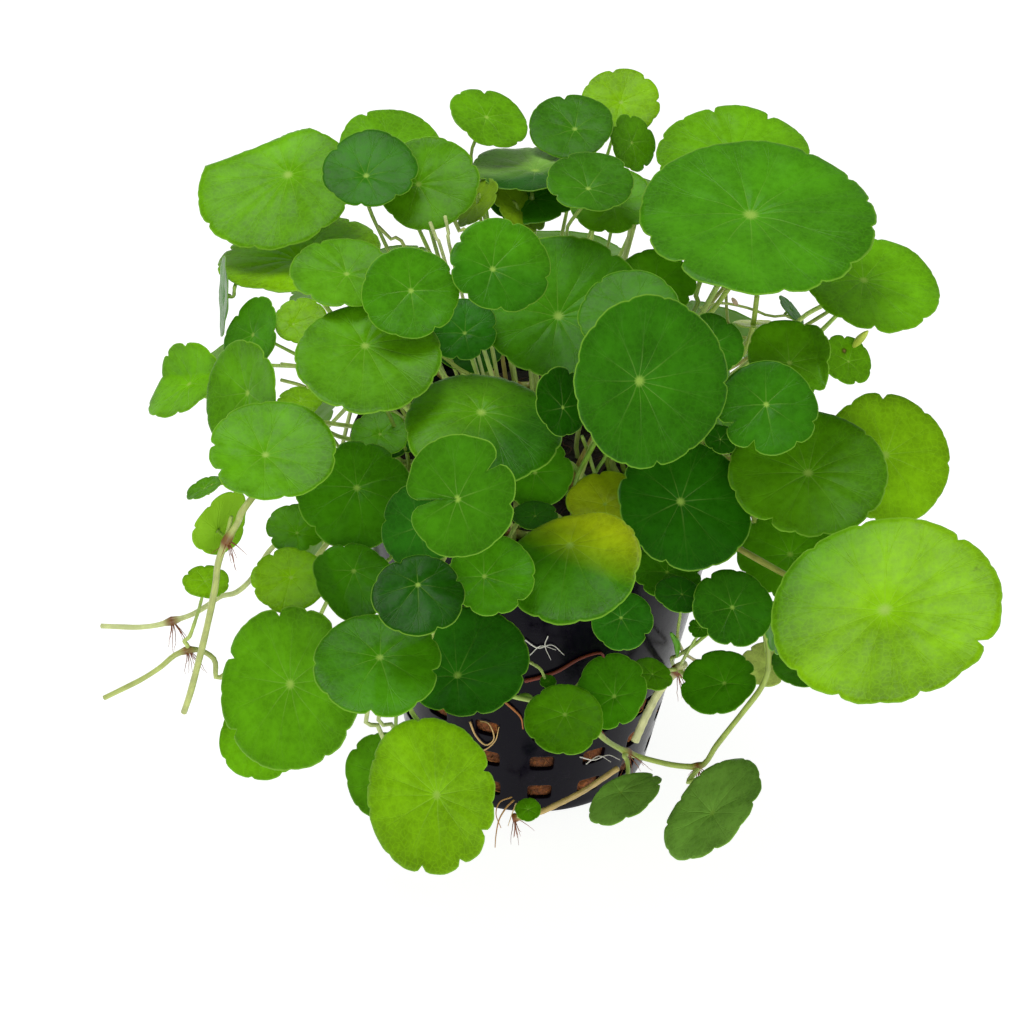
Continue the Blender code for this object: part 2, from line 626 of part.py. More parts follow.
def plan_plant():
    """Every blade and the middle line of every stalk, creeping stem and runner."""
    rows, hubs, centres, normals, radii = plan_blades()
    runner_points = {runner.name: [reading_place(*reading) for reading in runner.readings]
                     for runner in RUNNERS}
    roots, held = plan_roots(rows, hubs, runner_points)
    on_runner = np.array([row.name in KNOT_OF for row in rows])
    vias = [VIA.get(row.name, []) for row in rows]
    lines = [first_route(*blade_and_root)
             for blade_and_root in zip(roots, hubs, centres, normals, radii, on_runner, vias)]
    free = np.ones((len(rows), ROUTE_POINTS), bool)
    free[:, :2] = False
    free[:, -2:] = False
    for runner in RUNNERS:
        line, loose = runner_route(runner, runner_points[runner.name])
        lines.append(line)
        free = np.vstack([free, loose])
    for tuft in TUFTS:
        lines.append(even_path(tuft_roots(tuft, 12), ROUTE_POINTS))
        free = np.vstack([free, np.zeros(ROUTE_POINTS, bool)])
    lines = give_way(np.array(lines), free, centres, normals, radii, np.arange(len(rows)))
    names = [runner.name for runner in RUNNERS] + [tuft.name for tuft in TUFTS]
    stems = dict(zip(names, lines[len(rows):]))
    return rows, hubs, centres, normals, radii, lines[:len(rows)], stems, runner_points


# Meshes

def add_object(name, mesh, collection, material=None):
    """A mesh as an object of the collection."""
    made = bpy.data.objects.new(name, mesh)
    collection.objects.link(made)
    if material:
        mesh.materials.clear()
        mesh.materials.append(material)
    return made


def simpler(line, tolerance):
    """The line with only the points that keep it within the tolerance of its full course."""
    chord = line[-1] - line[0]
    share = np.clip((line - line[0]) @ chord / max(chord @ chord, 0.001), 0, 1)
    stray = np.linalg.norm(line - line[0] - share[:, None] * chord, axis=1)
    worst = stray.argmax()
    if stray[worst] < tolerance:
        return np.array([line[0], line[-1]])
    return np.vstack([simpler(line[:worst + 1], tolerance)[:-1], simpler(line[worst:], tolerance)])


def tube(line, radius, collection, tolerance=ROUTE_TOLERANCE):
    """A round tube along a line, as a closed mesh with welded caps."""
    points = simpler(line, tolerance)
    curve = bpy.data.curves.new("tube", "CURVE")
    curve.dimensions = "3D"
    curve.bevel_depth = radius * MM
    curve.bevel_resolution = 0
    curve.use_fill_caps = True
    spline = curve.splines.new("POLY")
    spline.points.add(len(points) - 1)
    for point, place in zip(spline.points, points):
        point.co = (*(place * MM), 1)
    drawn = bpy.data.objects.new("tube", curve)
    collection.objects.link(drawn)
    mesh = meshed(drawn)
    bpy.data.objects.remove(drawn)
    bpy.data.curves.remove(curve)
    return mesh


def meshed(source):
    """The evaluated mesh of an object, welded, with its modifiers worked in."""
    bpy.context.view_layer.update()
    graph = bpy.context.evaluated_depsgraph_get()
    mesh = bpy.data.meshes.new_from_object(source.evaluated_get(graph))
    work = bmesh.new()
    work.from_mesh(mesh)
    bmesh.ops.remove_doubles(work, verts=work.verts, dist=0.000002)
    bmesh.ops.dissolve_degenerate(work, edges=work.edges, dist=0.0000005)
    bmesh.ops.recalc_face_normals(work, faces=work.faces)
    work.to_mesh(mesh)
    work.free()
    return mesh


def blade(hub, centre, normal, radius, far=False):
    """A thin scalloped disc that dips slightly to its hub."""
    corners = 14 if radius > 14.2 and not far else 10 if radius > 8.5 else 8
    work = bmesh.new()
    bmesh.ops.create_cone(work, cap_ends=True, cap_tris=True, segments=corners,
                          radius1=radius, radius2=radius, depth=BLADE_THICKNESS)
    side, top = blade_axes(normal)
    offset = hub - centre
    for vertex in work.verts:
        x, y, z = vertex.co
        if math.hypot(x, y) < radius / 2:
            flat = offset
            rise = 0
        else:
            turn = math.atan2(y, x)
            scallop = 1 + LOBE_DEPTH * math.cos(turn * corners / 2)
            flat = (side * x + top * y) * scallop
            rise = SAUCER * radius
        vertex.co = Vector((centre + flat + normal * (z + rise)) * MM)
    mesh = bpy.data.meshes.new("blade")
    work.to_mesh(mesh)
    work.free()
    return mesh


def ball(centre, radius):
    """A small rounded knot on a stem."""
    work = bmesh.new()
    bmesh.ops.create_uvsphere(work, u_segments=6, v_segments=4, radius=radius * MM,
                              matrix=Matrix.Translation(Vector(centre * MM)))
    mesh = bpy.data.meshes.new("knot")
    work.to_mesh(mesh)
    work.free()
    return mesh


def join(name, meshes, collection, cutters, material):
    """One closed solid from overlapping meshes, added to each other in turn."""
    result = add_object(name, meshes[0], collection, material)
    for mesh in meshes[1:]:
        other = add_object(name + "_add", mesh, cutters)
        union = result.modifiers.new("join", "BOOLEAN")
        union.operation = "UNION"
        union.solver = "EXACT"
        union.object = other
        joined = meshed(result)
        result.modifiers.clear()
        result.data = joined
        bpy.data.objects.remove(other)
    result.data.materials.clear()
    result.data.materials.append(material)
    result.data.shade_smooth()
    result.data.set_sharp_from_angle(angle=math.radians(35))
    return result


def make_pot(collection, cutters, material):
    """Tapered net pot: a turned wall with a lip and rows of openings."""
    inner_base = BASE_RADIUS - POT_WALL
    inner_rim = RIM_RADIUS - POT_WALL - LIP_OUT
    profile = [(RIM_RADIUS, POT_HEIGHT), (RIM_RADIUS, POT_HEIGHT - LIP_HEIGHT),
               (RIM_RADIUS - LIP_OUT, POT_HEIGHT - LIP_HEIGHT - 0.6), (BASE_RADIUS, 1.2),
               (BASE_RADIUS - 0.8, 0.0), (0.0, 0.0)]
    profile += [(0.0, 1.2), (inner_base, 1.2), (inner_rim, POT_HEIGHT - 1.0),
                (inner_rim + 0.4, POT_HEIGHT)]
    mesh = bpy.data.meshes.new("pot")
    corners = [(x * MM, 0, z * MM) for x, z in profile]
    edges = [(k, k + 1) for k in range(len(profile) - 1) if k != 5]
    mesh.from_pydata(corners, edges + [(len(profile) - 1, 0)], [])
    pot = add_object("pot", mesh, collection, material)
    turned = pot.modifiers.new("turn", "SCREW")
    turned.steps = 32
    turned.render_steps = 32
    turned.use_merge_vertices = True
    turned.merge_threshold = 0.00005
    turned.use_normal_calculate = True
    for cutter in hole_cutters(cutters):
        cut = pot.modifiers.new("opening", "BOOLEAN")
        cut.operation = "DIFFERENCE"
        cut.solver = "EXACT"
        cut.object = cutter
    return pot


def hole_cutters(cutters):
    """One cutter for each row of openings: a ring of boxes through the wall."""
    made = []
    for row in HOLE_ROWS:
        wall = BASE_RADIUS + (RIM_RADIUS - LIP_OUT - BASE_RADIUS) * row / POT_HEIGHT
        work = bmesh.new()
        for k in range(HOLES_AROUND):
            turn = 2 * math.pi * (k + 0.25) / HOLES_AROUND
            place = Matrix.Rotation(turn, 4, "Z") @ Matrix.Translation((wall * MM, 0, row * MM))
            size = Matrix.Diagonal((8 * MM, HOLE_WIDTH * MM, HOLE_HEIGHT * MM, 1))
            bmesh.ops.create_cube(work, size=1, matrix=place @ size)
        mesh = bpy.data.meshes.new("openings")
        work.to_mesh(mesh)
        work.free()
        cutter = add_object("openings_row", mesh, cutters)
        cutter.hide_render = True
        cutter.display_type = "WIRE"
        made.append(cutter)
    return made


def make_soil(collection, material):
    """The filling of the pot, clear of its wall and floor."""
    base = BASE_RADIUS - POT_WALL - GAP - 0.15
    reach = RIM_RADIUS - POT_WALL - LIP_OUT - GAP - 0.15
    top = base + (reach - base) * (SOIL_TOP - 1.2) / (POT_HEIGHT - 2.2)
    height = SOIL_TOP - 1.2 - GAP
    work = bmesh.new()
    bmesh.ops.create_cone(work, cap_ends=True, cap_tris=True, segments=32, radius1=base * MM,
                          radius2=top * MM, depth=height * MM,
                          matrix=Matrix.Translation((0, 0, (SOIL_TOP - height / 2) * MM)))
    mesh = bpy.data.meshes.new("soil")
    work.to_mesh(mesh)
    work.free()
    soil = add_object("soil", mesh, collection, material)
    soil.data.shade_smooth()
    soil.data.set_sharp_from_angle(angle=math.radians(35))
    return soil


def make_plant(collection, cutters, materials):
    """Every leaf on its own stalk, and every stem and runner with the leaves that it carries."""
    rows, hubs, centres, normals, radii, stalks, stems, runner_points = plan_plant()
    carried = {name: [] for name in stems}
    for row, hub, centre, normal, radius, line in zip(rows, hubs, centres, normals, radii, stalks):
        if row.name in TOO_SMALL:
            continue
        far = row.name.startswith("far")
        thickness = STALK_RADIUS * (0.75 if radius < 8 else 1.0)
        pieces = [tube(line, thickness, cutters, FAR_TOLERANCE if far else ROUTE_TOLERANCE),
                  blade(hub, centre, normal, radius, far)]
        if row.plant:
            carried[row.plant] += pieces
        else:
            join("leaf_" + row.name, pieces, collection, cutters, materials["leaf"])
    for tuft in TUFTS:
        stem = tube(tuft_roots(tuft, 20), STEM_RADIUS, cutters)
        finish = materials["far" if "back" in tuft.name else "leaf"]
        join(tuft.name, [stem] + carried[tuft.name], collection, cutters, finish)
    for runner in RUNNERS:
        stem = tube(stems[runner.name], STEM_RADIUS, cutters)
        knots = [ball(runner_points[runner.name][k], JOINT_RADIUS) for k in runner.joints]
        join(runner.name, [stem] + knots + carried[runner.name], collection, cutters,
             materials["runner"])


def main():
    """Build the whole object."""
    for old in list(bpy.data.objects):
        bpy.data.objects.remove(old)
    parts = bpy.data.collections.new(NAME)
    cutters = bpy.data.collections.new("cutters")
    bpy.context.scene.collection.children.link(parts)
    bpy.context.scene.collection.children.link(cutters)
    materials = {name: make_material(name) for name in COLOURS}
    make_pot(parts, cutters, materials["pot"])
    make_soil(parts, materials["soil"])
    make_plant(parts, cutters, materials)


main()
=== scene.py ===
"""Looks of a potted pennywort: scalloped waxy leaves, stalks, runners, roots, fibre and net pot.

Lengths are in millimetres until a mesh is written. The plan of the plant is the one that its solids
are built from: sight lines of the leaves seen in the photograph meet a mound, leaves that cover each
other move apart, and stalks bend around them. Every grown surface is a grid of two parameters.
"""

import math
from collections import namedtuple

import bmesh
import bpy
import numpy as np
from mathutils import Matrix


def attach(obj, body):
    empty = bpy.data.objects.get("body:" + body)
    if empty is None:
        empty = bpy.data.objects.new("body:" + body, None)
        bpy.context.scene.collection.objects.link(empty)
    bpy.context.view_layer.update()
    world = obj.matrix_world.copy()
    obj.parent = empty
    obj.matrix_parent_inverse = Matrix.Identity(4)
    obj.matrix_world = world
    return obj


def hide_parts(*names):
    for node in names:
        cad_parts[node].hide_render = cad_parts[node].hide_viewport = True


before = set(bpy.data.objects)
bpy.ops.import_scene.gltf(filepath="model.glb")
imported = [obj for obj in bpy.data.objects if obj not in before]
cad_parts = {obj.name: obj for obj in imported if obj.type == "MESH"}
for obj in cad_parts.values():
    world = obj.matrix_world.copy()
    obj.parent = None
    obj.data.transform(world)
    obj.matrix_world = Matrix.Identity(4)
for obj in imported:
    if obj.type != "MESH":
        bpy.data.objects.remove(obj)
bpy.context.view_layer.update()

MM = 0.001

# Pot, in millimetres
POT_HEIGHT = 73.0
RIM_RADIUS = 38.0
BASE_RADIUS = 25.5
POT_WALL = 0.9
LIP_HEIGHT = 3.0
LIP_OUT = 0.9
HOLE_ROWS = (6.5, 15.0, 23.5)
HOLES_AROUND = 16
HOLE_WIDTH = 4.9
HOLE_HEIGHT = 4.0
SOIL_TOP = 69.0
GAP = 0.3
ROOT_HEIGHT = 0.8

# Line of sight of the photograph: pixels, millimetres and degrees
FRAME_MIDDLE = 512.0
FOCAL_PIXELS = 2418.0
EYE_DISTANCE = 483.0
EYE_ELEVATION = 33.0
EYE_ROLL = 2.6
EYE_TARGET = np.array([-5.5, 0.0, 56.5])

# Mound of foliage: centre height and reach, in millimetres
MOUND_MIDDLE = np.array([0.0, 0.0, 72.0])
MOUND_SIDE = 84.0
MOUND_DEPTH = 70.0
MOUND_ABOVE = 60.0
MOUND_BELOW = 66.0

# Plant, in millimetres
BLADE_THICKNESS = 0.6
BLADE_AIR = 3.8
NEARER_SHARE = 0.35
SAUCER = 0.05
LOBE_DEPTH = 0.03
STALK_RADIUS = 0.7
STEM_RADIUS = 0.9
JOINT_RADIUS = 1.4
ROOT_SPACING = 3.4
SOIL_REACH = 32.5
RIM_ARCH_HEIGHT = 84.0
STALK_AIR = 2.0
STALK_APART = 2.4
ROUTE_POINTS = 26
GROUND_CLEARANCE = 2.5
ROUTE_TOLERANCE = 0.9
FAR_TOLERANCE = 1.3

# star and middle are pixels, across is mm, squash is short over long axis as seen, lean is the
# direction in degrees in which the face leans in the photograph, layer is higher in front, back is
# how many mm the leaf lies behind the mound's skin, and plant is what carries it (empty: the soil)
Leaf = namedtuple("Leaf", "name star middle across squash lean layer back plant")


def leaf(name, star, middle, across, squash, lean, layer, back=0.0, plant=""):
    """One row of the table of leaves that the photograph shows."""
    return Leaf(name, star, middle, across, squash, lean, layer, back, plant)


LEAVES = [
    leaf("a", (289, 175), (277, 190), 31, 0.76, 105, 20),
    leaf("b", (366, 177), (370, 171), 18, 0.79, 95, 40),
    leaf("c", (390, 150), (390, 146), 20, 0.67, 85, 10, 0, "tuft_top"),
    leaf("d", (418, 185), (429, 185), 19.5, 0.88, 100, 30),
    leaf("e", (300, 262), (300, 258), 32, 0.46, 98, 8, 0, "tuft_left"),
    leaf("f", (347, 275), (341, 276), 18, 0.71, 90, 52),
    leaf("g", (411, 291), (410, 295), 17, 0.94, 90, 60),
    leaf("h", (293, 325), (301, 322), 10, 0.86, 95, 12, 0, "tuft_left"),
    leaf("i", (365, 346), (368, 364), 26, 0.74, 90, 45),
    leaf("j", (190, 385), (190, 385), 18, 0.46, 132, 30, 0, "tuft_left"),
    leaf("k", (249, 393), (246, 396), 20, 0.62, 172, 35),
    leaf("l", (254, 335), (254, 337), 15, 0.60, 160, 15, 0, "tuft_left"),
    leaf("m", (265, 456), (272, 455), 22, 0.79, 92, 70),
    leaf("o", (217, 530), (221, 522), 13, -0.50, 138, 40, 9, "runner_left_high"),
    leaf("p", (357, 488), (356, 497), 22, 0.92, 90, 40),
    leaf("q", (297, 534), (296, 529), 11, 0.84, 95, 30, 0, "tuft_front"),
    leaf("r", (300, 402), (300, 402), 8, 0.64, 90, 5, 0, "tuft_left"),
    leaf("s", (380, 435), (380, 435), 11, 0.80, 90, 6, 0, "tuft_left"),
    leaf("t", (486, 118), (488, 120), 16, 0.63, 65, 30),
    leaf("u", (575, 130), (571, 128), 17, 0.74, 90, 28, 0, "tuft_top"),
    leaf("v", (621, 103), (621, 103), 16, 0.85, 90, 10),
    leaf("w", (631, 143), (631, 143), 12, 0.71, 20, 20, 0, "tuft_top"),
    leaf("x", (588, 190), (590, 184), 16, 0.67, 85, 46),
    leaf("y", (613, 206), (613, 204), 16, 0.74, 100, 36, 0, "tuft_top"),
    leaf("z", (535, 172), (538, 172), 26, 0.33, 88, 24),
    leaf("aa", (492, 270), (500, 267), 18, 0.9, 70, 66),
    leaf("ab", (558, 317), (565, 312), 30, 0.88, 90, 34),
    leaf("ab2", (655, 285), (655, 285), 15, 0.80, 80, 12, 0, "tuft_right"),
    leaf("ac", (735, 160), (733, 160), 30, 0.67, 88, 10),
    leaf("ad", (750, 216), (757, 224), 43, 0.64, 85, 50),
    leaf("ae", (863, 281), (871, 288), 26, 0.64, 76, 30),
    leaf("ag", (630, 312), (629, 314), 18, 0.79, 100, 50),
    leaf("ai", (789, 364), (793, 360), 17, 0.80, 70, 40),
    leaf("aj", (848, 362), (846, 361), 10, 0.79, 40, 25, 0, "tuft_right"),
    leaf("ak", (766, 405), (767, 410), 18, 0.92, 80, 60),
    leaf("al", (808, 474), (808, 476), 29, 0.78, 85, 50),
    leaf("am", (885, 455), (885, 459), 25, 0.91, 30, 20),
    leaf("an", (885, 611), (887, 615), 39, 0.81, 105, 60, 8),
    leaf("ao", (790, 555), (791, 558), 21, 0.81, 80, 20, 0, "tuft_right"),
    leaf("ap", (732, 608), (732, 609), 15, 0.90, 60, 45, 34, "runner_thick"),
    leaf("aq", (725, 684), (719, 684), 15, 0.79, 110, 40, 32, "runner_thick"),
    leaf("ar", (768, 665), (768, 665), 11, 0.83, 90, 8, 54, "tuft_right"),
    leaf("ar2", (803, 668), (803, 668), 13, 0.62, 80, 12, 40, "tuft_right"),
    leaf("as", (713, 814), (715, 811), 24, 0.55, 137, 40, 5, "runner_front"),
    leaf("at", (621, 793), (626, 800), 16, 0.49, 120, 40, 2, "runner_front"),
    leaf("au", (565, 715), (564, 721), 15, 0.88, 90, 60, 26, "runner_front"),
    leaf("av", (615, 697), (612, 692), 15, 0.90, 150, 50, 26, "runner_front"),
    leaf("aw", (652, 675), (652, 675), 8, 0.70, 60, 35, 28, "runner_thick"),
    leaf("ax", (621, 618), (622, 621), 11.5, 0.97, 90, 48, 19),
    leaf("ay", (680, 502), (684, 507), 25, 0.91, 60, 45),
    leaf("az", (638, 381), (647, 381), 30, 0.88, -5, 60),
    leaf("ba", (562, 408), (560, 402), 12, 0.76, 10, 45, 0, "tuft_middle"),
    leaf("bb", (481, 413), (483, 425), 28, 0.68, 85, 40),
    leaf("bc", (458, 499), (464, 496), 21, 0.90, 175, 70),
    leaf("bd", (605, 505), (605, 503), 14, 0.82, 95, 30, 8, "tuft_middle"),
    leaf("be", (570, 545), (575, 571), 25, 0.74, 105, 50, 12),
    leaf("bf", (484, 577), (492, 577), 15, 0.93, 90, 58),
    leaf("bg", (418, 585), (418, 597), 16, 0.86, 90, 62),
    leaf("bh", (420, 527), (420, 527), 15, 0.88, 180, 42),
    leaf("bi", (457, 677), (466, 664), 24, 0.87, 95, 35, -14, "runner_front"),
    leaf("bj", (380, 658), (377, 668), 22, 0.80, 90, 55),
    leaf("bk", (291, 684), (293, 688), 29, 0.86, 180, 50),
    leaf("bl", (262, 738), (262, 738), 17, 0.95, 180, 20, 0, "tuft_front"),
    leaf("bm", (354, 571), (350, 584), 16, 0.88, 90, 45),
    leaf("bn", (291, 578), (290, 581), 14, 0.85, 95, 40),
    leaf("bo", (438, 795), (434, 796), 29, 0.83, 190, 60),
    leaf("bp", (385, 775), (385, 775), 17, 0.89, 180, 30, -8, "tuft_front"),
    leaf("br", (205, 582), (206, 583), 9, 0.70, 90, 42, 14, "runner_left_low"),
    leaf("bt", (667, 573), (667, 573), 13, 0.78, 80, 30, -14, "tuft_front"),
    leaf("bu", (682, 595), (678, 596), 9, 0.71, 70, 38, 24, "runner_thick"),
    leaf("bv", (535, 473), (535, 473), 14, 0.95, 90, 15, 6, "tuft_middle"),
    leaf("bw", (465, 334), (461, 330), 13, 0.88, 90, 40, 0, "tuft_middle"),
    leaf("bx", (712, 345), (710, 345), 12, 0.87, 60, 18, 0, "tuft_right"),
    leaf("bz", (714, 405), (714, 405), 16, 0.52, 0, 10, 0, "tuft_right"),
]

# Far side: angle around the pot from +X, height as an angle on the mound, mm across, what carries it
FarLeaf = namedtuple("FarLeaf", "name around rise across plant")
FAR_LEAVES = [
    FarLeaf("far_a", 42, 40, 24, "tuft_back_right"),
    FarLeaf("far_b", 72, 36, 26, "tuft_back"),
    FarLeaf("far_c", 104, 38, 24, "tuft_back"),
    FarLeaf("far_d", 136, 34, 27, "tuft_back_left"),
    FarLeaf("far_e", 31, 23, 24, "tuft_back_right"),
    FarLeaf("far_f", 58, -4, 28, "tuft_back_right"),
    FarLeaf("far_g", 88, 10, 28, "tuft_back"),
    FarLeaf("far_h", 121, 6, 32, "tuft_back_left"),
    FarLeaf("far_i", 147, -2, 24, "tuft_back_left"),
    FarLeaf("far_j", 36, -24, 24, "tuft_back_right"),
    FarLeaf("far_k", 70, -28, 27, "tuft_back"),
    FarLeaf("far_l", 105, -26, 22, "tuft_back"),
    FarLeaf("far_m", 138, -24, 25, "tuft_back_left"),
    FarLeaf("far_n", 154, -46, 18, "tuft_back_left"),
]
FAR_REACH = 0.93

# Creeping stems on the soil that carry several leaves: from and to angle, and distance from the axis
Tuft = namedtuple("Tuft", "name start end reach")
TUFTS = [
    Tuft("tuft_top", 70, 130, 11.0),
    Tuft("tuft_left", 168, 212, 24.0),
    Tuft("tuft_middle", 232, 318, 13.0),
    Tuft("tuft_front", 232, 322, 29.0),
    Tuft("tuft_right", -30, 22, 24.0),
    Tuft("tuft_back_right", 32, 66, 27.0),
    Tuft("tuft_back", 76, 112, 27.0),
    Tuft("tuft_back_left", 122, 158, 27.0),
]

# Runners over the rim. A reading is a pixel and how many mm in front of the pot's axis it lies.
# leave is the angle at which the runner leaves the soil (None: it starts at the first reading),
# and joints are the places of its knots, counted along the readings
Runner = namedtuple("Runner", "name leave readings joints")
RUNNERS = [
    Runner("runner_left_high", 190, [
        (252, 498, 46), (240, 519, 47), (227, 540, 48), (219, 559, 48), (215, 588, 48),
        (207, 627, 48), (198, 664, 47), (190, 694, 46), (184, 712, 45)], (2,)),
    Runner("runner_left_pale", 203, [
        (254, 575, 30), (223, 595, 30), (195, 613, 31), (172, 621, 32), (144, 627, 33),
        (101, 626, 34)], (3,)),
    Runner("runner_left_low", 218, [
        (233, 667, 38), (212, 656, 39), (187, 648, 40), (169, 661, 41), (144, 678, 42),
        (104, 698, 43)], (2,)),
    Runner("runner_front", -12, [
        (768, 664, 26), (759, 690, 27), (731, 727, 28), (705, 760, 28), (698, 768, 28),
        (655, 761, 29), (627, 752, 31), (601, 736, 37), (588, 716, 40)], (4, 6, 8)),
    Runner("runner_thick", None, [
        (635, 741, 30), (646, 716, 29), (660, 690, 27), (677, 670, 26), (684, 664, 27)], (3,)),
    Runner("runner_low", None, [
        (618, 768, 30), (585, 790, 32), (560, 803, 33), (540, 812, 33), (514, 818, 32)], (4,)),
]

# Which knot of its runner a leaf grows from, as a place among the readings
KNOT_OF = {"o": 2, "br": 2, "as": 4, "at": 6, "au": 8, "av": 8, "bi": 8,
           "ap": 3, "aq": 3, "aw": 3, "bu": 3}

# Readings that the stalk of a leaf passes on its way, where the photograph shows or hides it
VIA = {"bo": [(388, 720, 50)], "bp": [(372, 728, 46)], "m": [(352, 480, 20)],
       "bn": [(300, 596, 46)], "k": [(350, 452, 18)]}

# Leaves too small for a solid here: their places are planned, so that the others keep clear of them
TOO_SMALL = ("r", "s", "aw", "bu", "ar2")


# Lines of sight

def eye_axes():
    """The eye's place and its right, up and forward directions."""
    rise = math.radians(EYE_ELEVATION)
    roll = math.radians(EYE_ROLL)
    forward = np.array([0, math.cos(rise), -math.sin(rise)])
    level = np.array([1.0, 0, 0])
    upright = np.array([0, math.sin(rise), math.cos(rise)])
    right = level * math.cos(roll) + upright * math.sin(roll)
    up = upright * math.cos(roll) - level * math.sin(roll)
    return EYE_TARGET - forward * EYE_DISTANCE, right, up, forward


EYE, RIGHT, UP, FORWARD = eye_axes()


def unit(vector):
    """The vector at length one."""
    return vector / np.linalg.norm(vector)


def sight(pixel):
    """Direction from the eye through a pixel."""
    return unit(FORWARD * FOCAL_PIXELS + RIGHT * (pixel[0] - FRAME_MIDDLE)
                + UP * (FRAME_MIDDLE - pixel[1]))


def reading_place(column, row, front):
    """Where the line of sight of a pixel crosses the upright plane that many mm in front."""
    way = sight((column, row))
    return EYE + way * ((-front - EYE[1]) / way[1])


def mound_distance(way):
    """Distance along a line of sight to the mound's skin, or to where it passes closest."""
    for height in (MOUND_ABOVE, MOUND_BELOW):
        reach = np.array([MOUND_SIDE, MOUND_DEPTH, height])
        start = (EYE - MOUND_MIDDLE) / reach
        step = way / reach
        a, b, c = step @ step, start @ step, start @ start - 1
        distance = (-b - math.sqrt(max(b * b - a * c, 0))) / a
        if (EYE + way * distance)[2] >= MOUND_MIDDLE[2]:
            break
    return distance


def facing(way, squash, lean):
    """Normal of a round blade that is seen squashed, leaning towards lean degrees in the picture."""
    toward = -way
    side = unit(RIGHT - toward * (RIGHT @ toward))
    top = np.cross(toward, side)
    turn = math.radians(lean)
    leaning = side * math.cos(turn) + top * math.sin(turn)
    return toward * squash + leaning * math.sqrt(1 - squash * squash)


# Places of the blades

def far_place(row):
    """Hub and normal of a leaf on the far side of the mound."""
    around, rise = math.radians(row.around), math.radians(row.rise)
    height = MOUND_ABOVE if rise > 0 else MOUND_BELOW
    reach = np.array([MOUND_SIDE, MOUND_DEPTH, height]) * FAR_REACH
    out = np.array([math.cos(around) * math.cos(rise), math.sin(around) * math.cos(rise),
                    math.sin(rise)])
    return MOUND_MIDDLE + out * reach, unit(out + np.array([0, 0, 0.9]))


def plan_blades():
    """Name, carrier, hub, middle, normal and radius of every blade, in arrays by row."""
    rows = LEAVES + FAR_LEAVES
    ways, middles, normals, distances, layers = [], [], [], [], []
    for row in LEAVES:
        way, middle_way = sight(row.star), sight(row.middle)
        normal = facing(way, row.squash, row.lean)
        ways.append(way)
        middles.append(middle_way * (way @ normal) / (middle_way @ normal))
        normals.append(normal)
        distances.append(mound_distance(way) + row.back)
        layers.append(row.layer)
    for place, row in enumerate(FAR_LEAVES):
        hub, normal = far_place(row)
        ways.append(unit(hub - EYE))
        middles.append(ways[-1])
        normals.append(normal)
        distances.append(np.linalg.norm(hub - EYE))
        layers.append(-10 - place)
    ways, middles, normals = np.array(ways), np.array(middles), np.array(normals)
    radii = np.array([row.across / 2 for row in rows])
    distances = settle(ways, middles, normals, radii, np.array(layers), np.array(distances))
    hubs = EYE + ways * distances[:, None]
    centres = EYE + middles * distances[:, None]
    return rows, hubs, centres, normals, radii


def blade_axes(normal):
    """Two directions in the plane of a blade, the first level with the picture."""
    side = unit(RIGHT - normal * (RIGHT @ normal))
    return side, np.cross(normal, side)


def blade_samples(normals, radii):
    """Points over each blade, measured from its middle: three rings of twenty."""
    turn = np.linspace(0, 2 * math.pi, 20, endpoint=False)
    discs = []
    for normal, radius in zip(normals, radii):
        side, top = blade_axes(normal)
        ring = np.cos(turn)[:, None] * side + np.sin(turn)[:, None] * top
        discs.append(np.vstack([ring * radius * share for share in (0.01, 0.5, 1.0)]))
    return np.array(discs)


def settle(ways, middles, normals, radii, layers, distances):
    """Move overlapping blades apart along their lines of sight, the higher layer nearer."""
    order = layers + np.arange(len(layers)) * 0.001
    discs = blade_samples(normals, radii)
    for _ in range(120):
        hubs = ways * distances[:, None]
        centres = middles * distances[:, None]
        points = centres[:, None] + discs
        depth = np.linalg.norm(points, axis=-1)
        lines = points / depth[..., None]
        move = np.zeros(len(ways))
        touched = np.zeros(len(ways))
        for j, normal in enumerate(normals):
            reach = (hubs[j] @ normal) / (lines @ normal)
            apart = np.linalg.norm(lines * reach[..., None] - centres[j], axis=-1)
            inside = (apart < radii[j] * 1.03) & (reach > 0)
            inside[j] = False
            behind = reach - depth
            nearer = order > order[j]
            least = np.where(inside, behind, np.inf).min(axis=1)
            most = np.where(inside, behind, -np.inf).max(axis=1)
            short = np.where(nearer, BLADE_AIR - least, BLADE_AIR + most)
            short = np.where(inside.any(axis=1), np.maximum(short, 0), 0)
            move += np.where(nearer, -NEARER_SHARE, 1 - NEARER_SHARE) * short
            move[j] += (np.where(nearer, 1 - NEARER_SHARE, -NEARER_SHARE) * short).sum()
            touched += short > 0
            touched[j] += (short > 0).sum()
        if not touched.any():
            break
        distances = distances + 0.6 * move / np.sqrt(np.maximum(touched, 1))
    return distances


# Stalks

def tuft_roots(tuft, count):
    """Places along a creeping stem from which its leaves grow."""
    turn = np.radians(np.linspace(tuft.start, tuft.end, count))
    height = SOIL_TOP + GAP + STEM_RADIUS
    return np.stack([np.cos(turn) * tuft.reach, np.sin(turn) * tuft.reach,
                     np.full(count, height)], -1)


